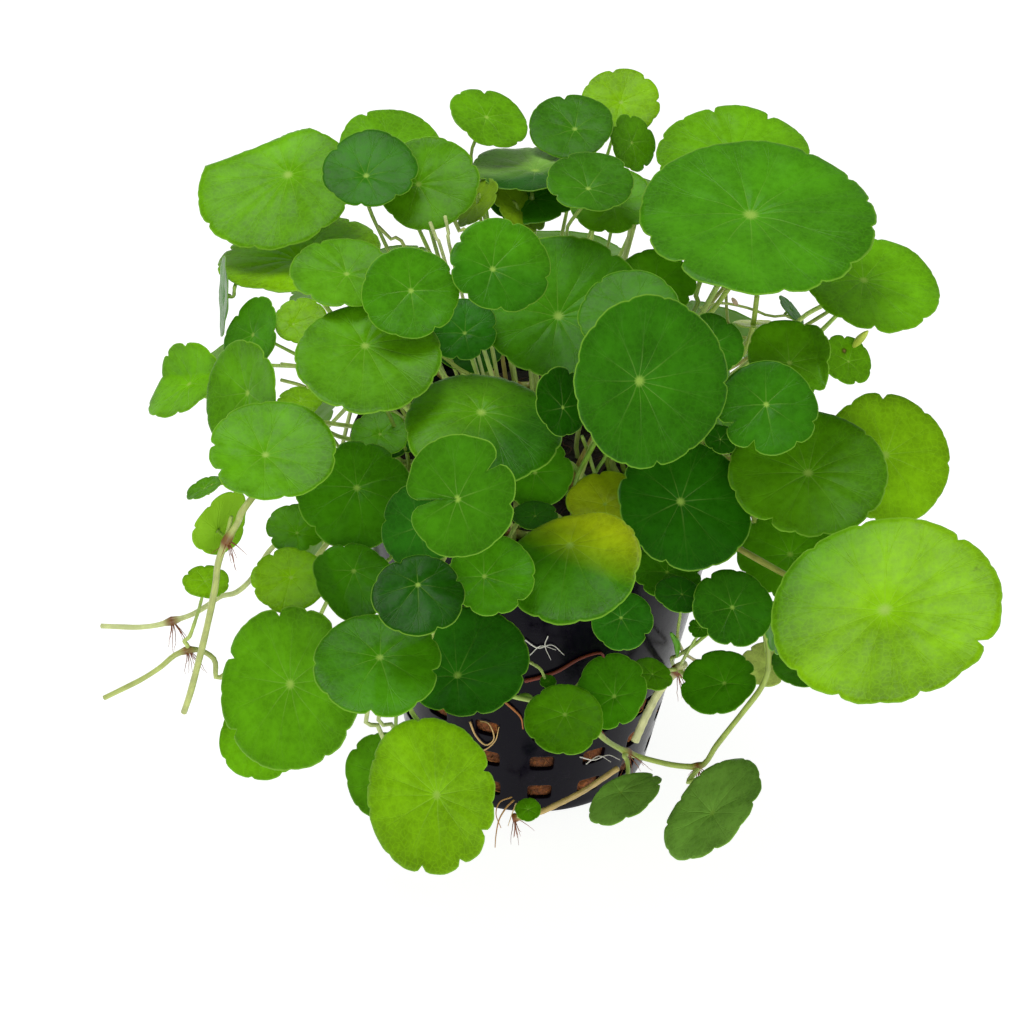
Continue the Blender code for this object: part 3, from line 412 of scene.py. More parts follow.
def plan_roots(rows, hubs, runner_points):
    """Where each stalk starts: on the soil, on its creeping stem or on its runner's knot."""
    roots = np.zeros((len(rows), 3))
    held = np.zeros(len(rows), bool)
    for tuft in TUFTS:
        members = [k for k, row in enumerate(rows) if row.plant == tuft.name]
        members.sort(key=lambda k: tuft_bearing(tuft, hubs[k]))
        roots[members] = tuft_places(tuft, [tuft_bearing(tuft, hubs[k]) for k in members])
        held[members] = True
    for k, row in enumerate(rows):
        if row.name in KNOT_OF:
            roots[k] = runner_points[row.plant][KNOT_OF[row.name]]
            held[k] = True
    out = np.linalg.norm(hubs[:, :2], axis=1)
    free = hubs[:, :2] / out[:, None] * np.minimum(out * 0.42, SOIL_REACH)[:, None]
    roots[~held, :2] = free[~held]
    roots[~held, 2] = SOIL_TOP + ROOT_HEIGHT
    stems = [tuft_roots(tuft, 12)[:, :2] for tuft in TUFTS]
    stems += [runner_root(runner)[None, :2] for runner in RUNNERS if runner.leave is not None]
    stems = np.vstack(stems)
    for _ in range(300):
        fixed = np.vstack([roots[:, :2], stems])
        away = roots[:, None, :2] - fixed[None]
        gap = np.linalg.norm(away, axis=-1)
        gap[np.arange(len(rows)), np.arange(len(rows))] = 99
        short = np.maximum(ROOT_SPACING - gap, 0) * 0.3
        push = (away / np.maximum(gap, 0.001)[..., None] * short[..., None]).sum(axis=1)
        roots[~held, :2] += push[~held]
        reach = np.linalg.norm(roots[:, :2], axis=1)
        shrink = np.minimum(1, SOIL_REACH / np.maximum(reach, 0.001))
        roots[~held, :2] *= shrink[~held, None]
    return roots, held


def tuft_bearing(tuft, hub):
    """Angle of a hub around the pot in degrees, counted from the middle of the tuft."""
    middle = (tuft.start + tuft.end) / 2
    angle = math.degrees(math.atan2(hub[1], hub[0]))
    return (angle - middle + 180) % 360 - 180


def tuft_places(tuft, bearings):
    """Places on a creeping stem towards the given bearings, kept apart along it."""
    half = (tuft.end - tuft.start) / 2
    apart = min(math.degrees(ROOT_SPACING / tuft.reach), 2 * half / max(len(bearings) - 1, 1))
    turns = np.clip(bearings, -half, half)
    for _ in range(60):
        for k in range(len(turns) - 1):
            short = max(apart - (turns[k + 1] - turns[k]), 0)
            turns[k] -= short / 2
            turns[k + 1] += short / 2
        turns = np.clip(turns, -half, half)
    turns = np.radians(turns + (tuft.start + tuft.end) / 2)
    height = SOIL_TOP + GAP + STEM_RADIUS
    return np.stack([np.cos(turns) * tuft.reach, np.sin(turns) * tuft.reach,
                     np.full(len(turns), height)], -1)


def smooth_path(points, count):
    """Evenly spaced points on a Catmull-Rom curve through the given ones."""
    points = np.asarray(points, float)
    ends = np.vstack([2 * points[0] - points[1], points, 2 * points[-1] - points[-2]])
    t = np.linspace(0, 1, 16, endpoint=False)[:, None]
    spans = []
    for a, b, c, d in zip(ends, ends[1:], ends[2:], ends[3:]):
        spans.append(0.5 * (2 * b + (c - a) * t + (2 * a - 5 * b + 4 * c - d) * t ** 2
                            + (3 * b - a - 3 * c + d) * t ** 3))
    return even_path(np.vstack(spans + [points[-1:]]), count)


def even_path(path, count):
    """The same line with evenly spaced points."""
    steps = np.linalg.norm(np.diff(path, axis=0), axis=1)
    along = np.concatenate([[0], np.cumsum(steps)])
    wanted = np.linspace(0, along[-1], count)
    return np.stack([np.interp(wanted, along, path[:, k]) for k in range(3)], -1)


def over_rim(bearing):
    """A place just above the rim in the direction of the given bearing."""
    flat = unit(np.asarray(bearing[:2]))
    return np.array([*(flat * (RIM_RADIUS + 3)), RIM_ARCH_HEIGHT])


def first_route(root, hub, centre, normal, radius, on_runner, via):
    """A stalk before it gives way: from its root, over the rim if need be, to the blade's back."""
    if on_runner:
        points = [root, root + unit(hub - root) * 2.0]
    else:
        points = [root, root + np.array([0, 0, 9.0])]
        if hub[2] < POT_HEIGHT + 11 and np.linalg.norm(hub[:2]) > RIM_RADIUS:
            points.append(over_rim(hub))
    points += [reading_place(*reading) for reading in via]
    height = (points[-1] - hub) @ normal
    if height > 0:
        flat = unit(points[-1] - hub - normal * height)
        points.append(centre + flat * (radius + 3.0))
        points.append(hub - normal * 4.0 + flat * radius * 0.4)
    elif not on_runner:
        points.append(hub - normal * 9.0 - np.array([0, 0, 2.0]))
    points += [hub - normal * 3.0, hub]
    return smooth_path(points, ROUTE_POINTS)


def runner_root(runner):
    """Where a runner leaves the soil."""
    turn = math.radians(runner.leave)
    reach = SOIL_REACH - 1
    return np.array([math.cos(turn) * reach, math.sin(turn) * reach, SOIL_TOP + ROOT_HEIGHT])


def runner_route(runner, points):
    """Middle line of a runner, with the hidden stretch from the soil if it has one."""
    if runner.leave is None:
        return smooth_path(points, ROUTE_POINTS), np.zeros(ROUTE_POINTS, bool)
    root = runner_root(runner)
    line = smooth_path([root, root + np.array([0, 0, 7.0]), over_rim(root), *points],
                       ROUTE_POINTS)
    first = np.linalg.norm(line - points[0], axis=1).argmin()
    free = np.arange(ROUTE_POINTS) < first - 1
    free[:2] = False
    return line, free


def push_from_blades(lines, centres, normals, radii, owners):
    """How far each point of each stalk has to give way to the blades."""
    count, points = lines.shape[:2]
    flat = lines.reshape(-1, 3)
    height = flat @ normals.T - (centres * normals).sum(axis=1)
    square = (flat ** 2).sum(axis=1)[:, None] - 2 * flat @ centres.T + (centres ** 2).sum(axis=1)
    out = np.sqrt(np.maximum(square - height ** 2, 0)).reshape(count, points, -1)
    height = height.reshape(out.shape)
    end = height[:, -1].copy()
    end[owners, owners] = -1
    limit = radii + STALK_AIR
    within = out < limit
    act = (np.abs(height) < STALK_AIR) & within
    passes = (height[:, :-1] * height[:, 1:] < 0) & within[:, :-1] & within[:, 1:]
    act[:, :-1] |= passes
    act[:, 1:] |= passes
    act[owners[:, None], np.arange(points - 5, points), owners[:, None]] = False
    stalk, place, blade = np.nonzero(act)
    over = height[stalk, place, blade][:, None]
    reach = out[stalk, place, blade][:, None]
    first = height[stalk, 0, blade]
    normal = normals[blade]
    crosses = first * end[stalk, blade] < 0
    ray = (lines[stalk, place] - centres[blade] - over * normal) / np.maximum(reach, 0.001)
    around = ray * (limit[blade][:, None] - reach) * 0.5
    away = normal * (np.sign(first)[:, None] * STALK_AIR - over) * 0.6
    push = np.zeros_like(lines)
    np.add.at(push, (stalk, place), np.where(crosses[:, None], around, away))
    return push


def push_from_stalks(lines, own):
    """How far each point has to give way to the other stalks. own marks pairs on one stalk."""
    flat = lines.reshape(-1, 3).astype(np.float32)
    square = (flat ** 2).sum(axis=1)
    gap = flat @ flat.T
    gap *= -2
    gap += square[:, None]
    gap += square
    a, b = np.nonzero((gap < STALK_APART ** 2) & ~own)
    away = flat[a] - flat[b]
    length = np.maximum(np.linalg.norm(away, axis=1), 0.001)
    push = np.zeros((len(flat), 3))
    np.add.at(push, a, away / length[:, None] * (STALK_APART - length)[:, None] * 0.35)
    return push.reshape(lines.shape)


def push_from_pot(lines):
    """How far each point has to give way to the pot's wall, its rim and the ground."""
    push = np.zeros_like(lines)
    reach = np.maximum(np.linalg.norm(lines[..., :2], axis=-1), 0.001)
    height = lines[..., 2]
    ray = lines[..., :2] / reach[..., None]
    share = np.clip(height / POT_HEIGHT, 0, 1)
    wall = BASE_RADIUS + (RIM_RADIUS - BASE_RADIUS) * share + 2.6
    outside = (reach > RIM_RADIUS - 4) | (height < SOIL_TOP - 6)
    low = outside & (height < POT_HEIGHT + 1)
    push[..., :2] += ray * np.where(low, np.maximum(wall - reach, 0), 0)[..., None]
    push[..., 2] += np.where(outside, 0, np.maximum(SOIL_TOP + ROOT_HEIGHT - height, 0))
    over = (reach > SOIL_REACH + 0.5) & (reach < RIM_RADIUS + 1.5) & (height > SOIL_TOP - 10)
    push[..., 2] += np.where(over, np.maximum(POT_HEIGHT + 4 - height, 0), 0)
    rim = np.concatenate([ray * (RIM_RADIUS - 0.5), np.full_like(ray[..., :1], POT_HEIGHT - 1)], -1)
    away = lines - rim
    gap = np.maximum(np.linalg.norm(away, axis=-1), 0.001)
    push += away / gap[..., None] * np.maximum(3.8 - gap, 0)[..., None]
    push[..., 2] += np.maximum(GROUND_CLEARANCE - height, 0)
    return push


def give_way(lines, free, centres, normals, radii, owners):
    """Bend the free points of all stalks until blades, stalks and pot have air around them."""
    lines = lines.copy()
    free = free[..., None]
    stalk = np.repeat(np.arange(len(lines)), lines.shape[1])
    own = stalk[:, None] == stalk
    for turn in range(270):
        push = push_from_blades(lines, centres, normals, radii, owners)
        if turn % 3 == 0 or turn > 225:
            push += push_from_stalks(lines, own)
        push += push_from_pot(lines)
        spread = push.copy()
        for _ in range(2):
            spread[:, 1:-1] = (spread[:, :-2] + 2 * spread[:, 1:-1] + spread[:, 2:]) / 4
        lines += (push * 0.5 + spread * 0.8) * free
        slack = np.zeros_like(lines)
        slack[:, 1:-1] = (lines[:, :-2] + lines[:, 2:]) / 2 - lines[:, 1:-1]
        lines += slack * free * (0.35 if turn < 200 else 0.12 if turn < 240 else 0.02)
    return lines


def plan_plant():
    """Every blade and the middle line of every stalk, creeping stem and runner."""
    rows, hubs, centres, normals, radii = plan_blades()
    runner_points = {runner.name: [reading_place(*reading) for reading in runner.readings]
                     for runner in RUNNERS}
    roots, held = plan_roots(rows, hubs, runner_points)
    on_runner = np.array([row.name in KNOT_OF for row in rows])
    vias = [VIA.get(row.name, []) for row in rows]
    lines = [first_route(*blade_and_root)
             for blade_and_root in zip(roots, hubs, centres, normals, radii, on_runner, vias)]
    free = np.ones((len(rows), ROUTE_POINTS), bool)
    free[:, :2] = False
    free[:, -2:] = False
    for runner in RUNNERS:
        line, loose = runner_route(runner, runner_points[runner.name])
        lines.append(line)
        free = np.vstack([free, loose])
    for tuft in TUFTS:
        lines.append(even_path(tuft_roots(tuft, 12), ROUTE_POINTS))
        free = np.vstack([free, np.zeros(ROUTE_POINTS, bool)])
    lines = give_way(np.array(lines), free, centres, normals, radii, np.arange(len(rows)))
    names = [runner.name for runner in RUNNERS] + [tuft.name for tuft in TUFTS]
    stems = dict(zip(names, lines[len(rows):]))
    return rows, hubs, centres, normals, radii, lines[:len(rows)], stems, runner_points


# Looks of the leaves. tone names a colour below, which paints a leaf's light or shade as well as its own green,
# notches are pixels of the notches that can be read, cup is the rise of the rim over the hub as a share of the
# radius (below 0 it hangs), and a fold is (direction in degrees in which the folded part lies, its distance from
# the middle and the bend). blush is the tone of another part of the blade, the direction in
# which it lies and its distance: painted shade or a painted highlight on some leaves, a real second colour on
# others. marks are the pixels of withered spots with their size in mm. deep is the most that a notch cuts in
Look = namedtuple("Look", "tone cup notches folds blush marks deep")


def look(tone, cup=0.06, notches=(), folds=(), blush=None, marks=(), deep=0.08):
    """One row of the table of looks."""
    return Look(tone, cup, notches, folds, blush, marks, deep)


LOOKS = {
    "a": look("bright", 0.05, ((218, 224), (257, 245), (317, 228)), ((112, 0.62, -115),)),
    "b": look("dark", 0.04),
    "c": look("bright", 0.05, ((340, 132), (365, 119))),
    "d": look("light"),
    "e": look("lime", 0.02),
    "f": look("light", 0.08),
    "g": look("mid", 0.10),
    "h": look("lime"),
    "i": look("light", 0.10),
    "j": look("bright", 0.05, (), ((60, 0.15, 55),)),
    "k": look("light", 0.10),
    "l": look("mid"),
    "m": look("light", 0.10, ((230, 473), (211, 450))),
    "o": look("lime", 0.05, (), ((100, 0.3, -50),)),
    "p": look("mid"),
    "q": look("light", 0.04),
    "r": look("lime"),
    "s": look("light"),
    "t": look("bright", 0.05, ((485, 101),)),
    "u": look("shade", 0.05, ((566, 107),)),
    "v": look("lime", 0.03),
    "w": look("light"),
    "x": look("shade"),
    "y": look("light"),
    # Painted sheen and shade: the grey-green tone of z stands for the sheen of its strip seen at a grazing
    # angle, and the deep second tone for its shaded lower part
    "z": look("sheen_grey", 0.03, blush=("deep", -65, 0.0)),
    # Painted light and shade: the second tone lightens the upper half of aa, which lies in the light while its
    # lower half is shaded
    "aa": look("dark", 0.05, blush=("mid", 80, 0.1)),
    "ab": look("mid", 0.09),
    "ab2": look("light"),
    "ac": look("bright", 0.05, ((712, 117), (766, 126), (673, 146))),
    "ad": look("mid", 0.05, ((694, 262), (782, 294), (840, 264), (838, 188), (866, 235))),
    "ae": look("bright", 0.05, ((874, 323), (918, 320))),
    "ag": look("mid", 0.07),
    "ai": look("light", 0.06, (), ((10, 0.45, 60),)),
    "aj": look("bright", marks=(((843, 352), 0.7),)),
    "ak": look("dark", 0.04, ((727, 425), (752, 448), (793, 442), (815, 424)), deep=0.14),
    "al": look("light", 0.05, ((741, 492), (771, 522), (822, 533), (866, 515))),
    "am": look("lime", 0.06, ((879, 398), (918, 421), (940, 465), (905, 520))),
    # Painted shadow: the second tone darkens the upper left of an, where al casts its shadow
    "an": look("lime", 0.06, ((843, 697), (921, 691), (970, 643), (963, 543)),
               blush=("light", 140, 0.62), marks=(((979, 575), 1.7), ((969, 573), 1.0))),
    "ao": look("light"),
    "ap": look("dark"),
    "aq": look("mid", 0.05, ((690, 683), (703, 662), (728, 652), (755, 676)), deep=0.16),
    "ar": look("pale"),
    "ar2": look("mid"),
    # as and at take the pale grey-green tone that paints a sheen
    "as": look("sheen_grey", 0.04),
    "at": look("sheen_grey", 0.04),
    "au": look("light", 0.06, ((538, 738), (564, 752), (594, 741)), marks=(((565, 731), 0.4),)),
    "av": look("mid"),
    "aw": look("light"),
    "ax": look("cool"),
    "ay": look("deep", 0.07),
    "az": look("dark", 0.06),
    "ba": look("deep"),
    # Painted shading: the dome of bb is lighter at the upper left and the second tone darkens its lower right
    "bb": look("light", -0.10, blush=("dark", -35, 0.1)),
    "bc": look("shade", 0.12, ((428, 503), (512, 505), (498, 463)), deep=0.34),
    "bd": look("olive"),
    "be": look("mid", 0.05, ((641, 530), (641, 548)), ((20, 0.3, 16),), ("olive", 55, 0.35)),
    "bf": look("mid", 0.10, ((532, 578), (520, 606), (497, 614), (473, 606), (463, 590))),
    "bg": look("deep", 0.05),
    "bh": look("cool"),
    "bi": look("cool"),
    "bj": look("mid", 0.07, ((371, 708), (410, 700), (332, 697), (434, 675))),
    "bk": look("light", 0.07, ((243, 662), (226, 695), (240, 730), (326, 750), (341, 625), (283, 615))),
    "bl": look("bright", 0.04, ((228, 757), (253, 775), (283, 772))),
    "bm": look("mid", 0.05, (), ((200, 0.2, 35),)),
    "bn": look("lime", 0.05, ((272, 557), (257, 568), (255, 590), (262, 612)), deep=0.16),
    "bo": look("lime", 0.06, ((386, 762), (380, 808), (395, 852), (427, 868), (463, 857),
                                (489, 830), (490, 770))),
    "bp": look("light"),
    "br": look("lime"),
    "bt": look("mid"),
    "bu": look("cool"),
    "bv": look("mid"),
    "bw": look("cool"),
    "bx": look("dark"),
    "bz": look("light"),
}
FAR_TONES = ("mid", "shade", "light", "mid", "dark")

# Leaves under a solid's size: star pixel, mm in front of the axis, then as above, and the readings
# of the stalk from its far end
SmallLeaf = namedtuple("SmallLeaf", "star front across squash lean tone stalk")
SMALL_LEAVES = [
    SmallLeaf((205, 489), 44, 7.2, 0.42, 118, "light", [(238, 484, 38), (226, 483, 42), (212, 486, 44)]),
    SmallLeaf((227, 296), 8, 15.5, 0.10, 178, "mid", [(250, 272, -2), (236, 284, 4)]),
    SmallLeaf((773, 628), 52, 9.8, 0.42, 5, "mid", [(748, 600, 36), (760, 612, 46)]),
    SmallLeaf((700, 628), 50, 4.4, 0.85, 90, "shade", [(681, 664, 30), (690, 648, 42)]),
    SmallLeaf((528, 810), 35, 5.2, 0.90, 90, "light", [(514, 818, 32), (521, 816, 33)]),
    SmallLeaf((535, 517), 46, 8.6, 0.60, 90, "dark", [(536, 540, 36), (536, 528, 42)]),
    SmallLeaf((720, 440), 36, 6.4, 0.80, 60, "deep", [(712, 470, 24), (716, 452, 32)]),
    SmallLeaf((548, 682), 41, 3.2, 0.80, 80, "mid", [(530, 662, 38), (541, 670, 40)]),
    SmallLeaf((757, 326), 4, 9.5, 0.16, 88, "pale", [(744, 345, 2), (752, 334, 3)]),
    SmallLeaf((790, 311), 2, 7.0, 0.26, 40, "dark", [(806, 332, 2), (800, 322, 2)]),
    SmallLeaf((478, 204), -6, 11.0, 0.50, 140, "moss", []),
    SmallLeaf((518, 210), -8, 12.0, 0.55, 50, "moss", []),
    # Leaves in the gaps: their dark and deep tones also paint the shade inside the mound
    SmallLeaf((532, 200), -12, 17.0, 0.62, 90, "dark", []),
    SmallLeaf((466, 352), -2, 14.0, 0.62, 80, "deep", []),
    SmallLeaf((400, 440), 16, 11.0, 0.60, 120, "deep", []),
]

# Stalks that the photograph shows between the leaves, whose own leaves it hides. root is the end
# from which they run down to the soil: 0, -1 or None
StrayStalk = namedtuple("StrayStalk", "colour thick root readings")
STRAY_STALKS = [
    StrayStalk("#a5bd4c", 0.50, -1, [(729, 288, 8), (716, 306, 8), (703, 322, 9), (694, 336, 10)]),
    StrayStalk("#7d9a34", 0.48, -1, [(702, 276, 6), (696, 294, 6), (691, 316, 7)]),
    StrayStalk("#b8c66e", 0.26, -1, [(700, 308, 3), (720, 303, 3), (748, 308, 3), (768, 316, 3), (790, 327, 3)]),
    StrayStalk("#94a548", 0.30, -1, [(726, 292, 0), (727, 314, 0), (730, 327, 0), (740, 337, 0), (752, 348, 0)]),
    StrayStalk("#a5bd4c", 0.50, -1, [(757, 296, 5), (753, 325, 5), (746, 348, 6), (736, 362, 7), (718, 374, 8)]),
    StrayStalk("#b4c86a", 0.44, -1, [(822, 306, 6), (807, 314, 6), (792, 327, 7), (784, 336, 8)]),
    StrayStalk("#c2cf86", 0.34, -1, [(430, 222, 6), (436, 238, 7), (444, 258, 8)]),
    StrayStalk("#c2cf86", 0.34, -1, [(445, 216, 5), (449, 236, 6), (452, 256, 7)]),
    StrayStalk("#b4c66a", 0.40, -1, [(452, 214, 3), (460, 232, 4), (472, 246, 5)]),
    StrayStalk("#b4c66a", 0.34, -1, [(378, 226, 4), (392, 240, 5), (408, 254, 6)]),
    StrayStalk("#c2cf86", 0.34, -1, [(612, 212, 0), (619, 226, 0), (628, 240, 0)]),
    StrayStalk("#b4c66a", 0.40, -1, [(640, 210, 0), (634, 226, 0), (630, 242, 0)]),
    StrayStalk("#6f962a", 0.44, -1, [(602, 428, 36), (590, 452, 34), (578, 474, 32), (570, 500, 30)]),
    StrayStalk("#7d9a34", 0.34, -1, [(582, 436, 32), (590, 458, 31), (596, 488, 30)]),
    StrayStalk("#6f962a", 0.34, -1, [(612, 444, 30), (602, 462, 29), (586, 480, 28)]),
    StrayStalk("#7d9a34", 0.38, -1, [(386, 408, 22), (397, 432, 21), (406, 450, 20), (418, 474, 18)]),
    StrayStalk("#94a548", 0.34, -1, [(398, 402, 20), (412, 428, 19), (422, 442, 18)]),
    StrayStalk("#b4c66a", 0.40, -1, [(434, 362, 10), (444, 374, 9), (454, 388, 8)]),
    StrayStalk("#94a548", 0.36, -1, [(440, 354, 6), (458, 368, 6), (474, 380, 6)]),
    StrayStalk("#b4c66a", 0.34, -1, [(281, 364, 24), (300, 366, 22), (318, 366, 20)]),
    StrayStalk("#b4c66a", 0.34, -1, [(281, 380, 24), (300, 385, 22), (316, 392, 20)]),
    StrayStalk("#b4c66a", 0.40, -1, [(308, 384, 22), (311, 402, 20), (314, 420, 18)]),
    StrayStalk("#c2cf86", 0.44, 0, [(368, 708, 48), (376, 722, 48), (384, 740, 47)]),
    StrayStalk("#c2cf86", 0.40, 0, [(380, 706, 48), (390, 722, 48), (400, 738, 47)]),
    StrayStalk("#a5bd4c", 0.30, None, [(305, 582, 46), (306, 596, 46), (303, 612, 45)]),
]

# Buds and knots: colour, thickness and the readings of both ends
Bud = namedtuple("Bud", "colour thick readings")
BUDS = [
    Bud("#b8c94a", 0.75, [(853, 347, 24), (860, 339, 25), (868, 331, 26)]),
    Bud("#5c3a1c", 0.45, [(726, 324, 1), (731, 328, 1), (735, 331, 1)]),
    Bud("#7fa23a", 0.80, [(519, 696, 42), (526, 697, 42), (534, 699, 42)]),
    Bud("#d8b8a0", 0.45, [(732, 298, 3), (735, 302, 3), (738, 306, 3)]),
    Bud("#5a9a1c", 0.65, [(671, 633, 36), (677, 644, 35), (677, 657, 34)]),
]

# Radius and colour of each runner
RUNNER_LOOKS = {
    "runner_left_high": (0.62, "#b3bd6c"),
    "runner_left_pale": (0.50, "#c6cf8a"),
    "runner_left_low": (0.50, "#aebb68"),
    "runner_front": (0.56, "#9db04e"),
    "runner_thick": (0.84, "#d3d29a"),
    "runner_low": (0.60, "#b59a5e"),
}

# Leaf colours by tone, sRGB. A leaf's tone is its own green and also painted light and shade: the darker tones
# paint the shade on leaves deep in and under the mound, the lighter ones the light on open leaves on top
TONES = {
    "lime": "#7cb30a",
    "bright": "#63a308",
    "light": "#528f08",
    "mid": "#418208",
    "shade": "#3a7607",
    "dark": "#2d6906",
    "deep": "#1d5504",
    "cool": "#2c7010",
    # Painted sheen: a pale grey-green that stands for the sheen of leaves seen at a grazing angle
    "sheen_grey": "#7fae48",
    "olive": "#9fb210",
    "pale": "#cfdc74",
    "moss": "#6d9012",
}

# Blades, in millimetres or as shares of the radius
LEAF_SHEET = 0.36
LOBE_SPAN = 8.5
SAMPLES_PER_LOBE = 10
BLADE_RINGS = 15
NOTCH_SHARE = 0.05
TOOTH_SHARE = 0.008
CRENATE_RADIUS = 12.0
HUB_DIP = 0.05
TISSUE_BULGE = 0.004
RIM_WAVE = 0.04
SHADE_AND_TINT_WIDTH = 0.7

# Stalks and stems, in millimetres
STALK_THICK = 0.56
STALK_THIN = 0.38
STEM_SIDES = 12
STALK_RINGS = 44
KNOT_SWELL = 0.4
KNOT_LENGTH = 1.1

RANDOM_SEED = 41


def linear(value):
    """One sRGB channel from 0 to 1 as linear light."""
    return value / 12.92 if value <= 0.04045 else ((value + 0.055) / 1.055) ** 2.4


def rgb(colour):
    """A hex colour as linear red, green and blue."""
    return np.array([linear(int(colour[k:k + 2], 16) / 255) for k in (1, 3, 5)])


# Grids and pieces

Patch = namedtuple("Patch", "vertices quads triangles quad_uv triangle_uv finish colour data")


def sheet(points, along, around, finish, colour, data):
    """Closed surface from a grid of rows and columns.

    The first and the last row are one point each, and the last column joins the first. along has a
    value for each row and around one more value than there are columns, and together they are the UV.
    colour and data are values by vertex, by row, or one value for all. Faces are turned if the volume comes out
    below zero, so that they point outwards.
    """
    rows, columns = points.shape[:2]
    vertices = np.vstack([points[:1, 0], points[1:-1].reshape(-1, 3), points[-1:, 0]])
    column = np.arange(columns)
    after = (column + 1) % columns
    start = 1 + np.arange(rows - 3)[:, None] * columns
    quads = np.stack([start + column, start + columns + column, start + columns + after,
                      start + after], -1).reshape(-1, 4)
    u = np.stack([around[:-1], around[:-1], around[1:], around[1:]], -1)
    u = np.broadcast_to(u, (rows - 3, columns, 4))
    v = np.stack([along[1:-2], along[2:-1], along[2:-1], along[1:-2]], -1)
    v = np.broadcast_to(v[:, None], (rows - 3, columns, 4))
    quad_uv = np.stack([u, v], -1).reshape(-1, 4, 2)
    last = len(vertices) - 1
    tail = 1 + (rows - 3) * columns
    head_fan = np.stack([np.zeros_like(column), 1 + column, 1 + after], -1)
    tail_fan = np.stack([np.full_like(column, last), tail + after, tail + column], -1)
    triangles = np.vstack([head_fan, tail_fan])
    middle = (around[:-1] + around[1:]) / 2
    head_uv = np.stack([np.stack([middle, around[:-1], around[1:]], -1),
                        np.broadcast_to([along[0], along[1], along[1]], (columns, 3))], -1)
    tail_uv = np.stack([np.stack([middle, around[1:], around[:-1]], -1),
                        np.broadcast_to([along[-1], along[-2], along[-2]], (columns, 3))], -1)
    triangle_uv = np.vstack([head_uv, tail_uv])
    a, b, c = (vertices[triangles[:, k]] for k in range(3))
    volume = (np.cross(a, b) * c).sum()
    for k in (1, 2):
        a, b, c = vertices[quads[:, 0]], vertices[quads[:, k]], vertices[quads[:, k + 1]]
        volume += (np.cross(a, b) * c).sum()
    if volume < 0:
        quads, triangles = quads[:, ::-1], triangles[:, ::-1]
        quad_uv, triangle_uv = quad_uv[:, ::-1], triangle_uv[:, ::-1]
    colour, data = by_vertex(colour, rows, columns), by_vertex(data, rows, columns)
    return Patch(vertices, quads, triangles, quad_uv, triangle_uv, finish, colour, data)


def by_vertex(values, rows, columns):
    """Values of three numbers for each vertex of a sheet, from values by vertex, by row or one."""
    values = np.asarray(values, float)
    if values.ndim == 2:
        values = values[:, None]
    values = np.broadcast_to(values, (rows, columns, 3))
    return np.vstack([values[:1, 0], values[1:-1].reshape(-1, 3), values[-1:, 0]])


def write_mesh(name, patches, finishes):
    """One mesh from patches, with the UV map grid and the attributes tint and trait."""
    used = sorted({patch.finish for patch in patches})
    offsets = np.cumsum([0] + [len(patch.vertices) for patch in patches])
    quads = [patch.quads + offset for patch, offset in zip(patches, offsets)]
    triangles = [patch.triangles + offset for patch, offset in zip(patches, offsets)]
    quad_finish = [np.full(len(patch.quads), used.index(patch.finish)) for patch in patches]
    triangle_finish = [np.full(len(patch.triangles), used.index(patch.finish)) for patch in patches]
    quads, triangles = np.vstack(quads), np.vstack(triangles)
    corners = np.concatenate([quads.ravel(), triangles.ravel()])
    starts = np.concatenate([np.arange(len(quads)) * 4,
                             len(quads) * 4 + np.arange(len(triangles)) * 3])
    mesh = bpy.data.meshes.new(name)
    vertices = np.vstack([patch.vertices for patch in patches]) * MM
    mesh.vertices.add(len(vertices))
    mesh.vertices.foreach_set("co", vertices.ravel().astype(np.float32))
    mesh.loops.add(len(corners))
    mesh.loops.foreach_set("vertex_index", corners.astype(np.int32))
    mesh.polygons.add(len(starts))
    mesh.polygons.foreach_set("loop_start", starts.astype(np.int32))
    mesh.polygons.foreach_set("material_index",
                              np.concatenate(quad_finish + triangle_finish).astype(np.int32))
    uv = np.concatenate([np.concatenate([patch.quad_uv.reshape(-1, 2) for patch in patches]),
                         np.concatenate([patch.triangle_uv.reshape(-1, 2) for patch in patches])])
    mesh.uv_layers.new(name="grid").data.foreach_set("uv", uv.ravel().astype(np.float32))
    tint = mesh.attributes.new("tint", "FLOAT_COLOR", "POINT")
    colours = np.vstack([patch.colour for patch in patches])
    colours = np.hstack([colours, np.ones((len(colours), 1))])
    tint.data.foreach_set("color", colours.ravel().astype(np.float32))
    trait = mesh.attributes.new("trait", "FLOAT_VECTOR", "POINT")
    trait.data.foreach_set("vector", np.vstack([patch.data for patch in patches]).ravel()
                           .astype(np.float32))
    for finish in used:
        mesh.materials.append(finishes[finish])
    mesh.update(calc_edges=True)
    mesh.validate()
    mesh.shade_smooth()
    return mesh


def add_piece(name, mesh, slot, *nodes):
    """A finished mesh as a piece that rides with the plant and stands for the given nodes."""
    piece = bpy.data.objects.new(name, mesh)
    bpy.context.scene.collection.objects.link(piece)
    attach(piece, "root")
    if nodes:
        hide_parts(*nodes)
    return piece


# Leaf blades

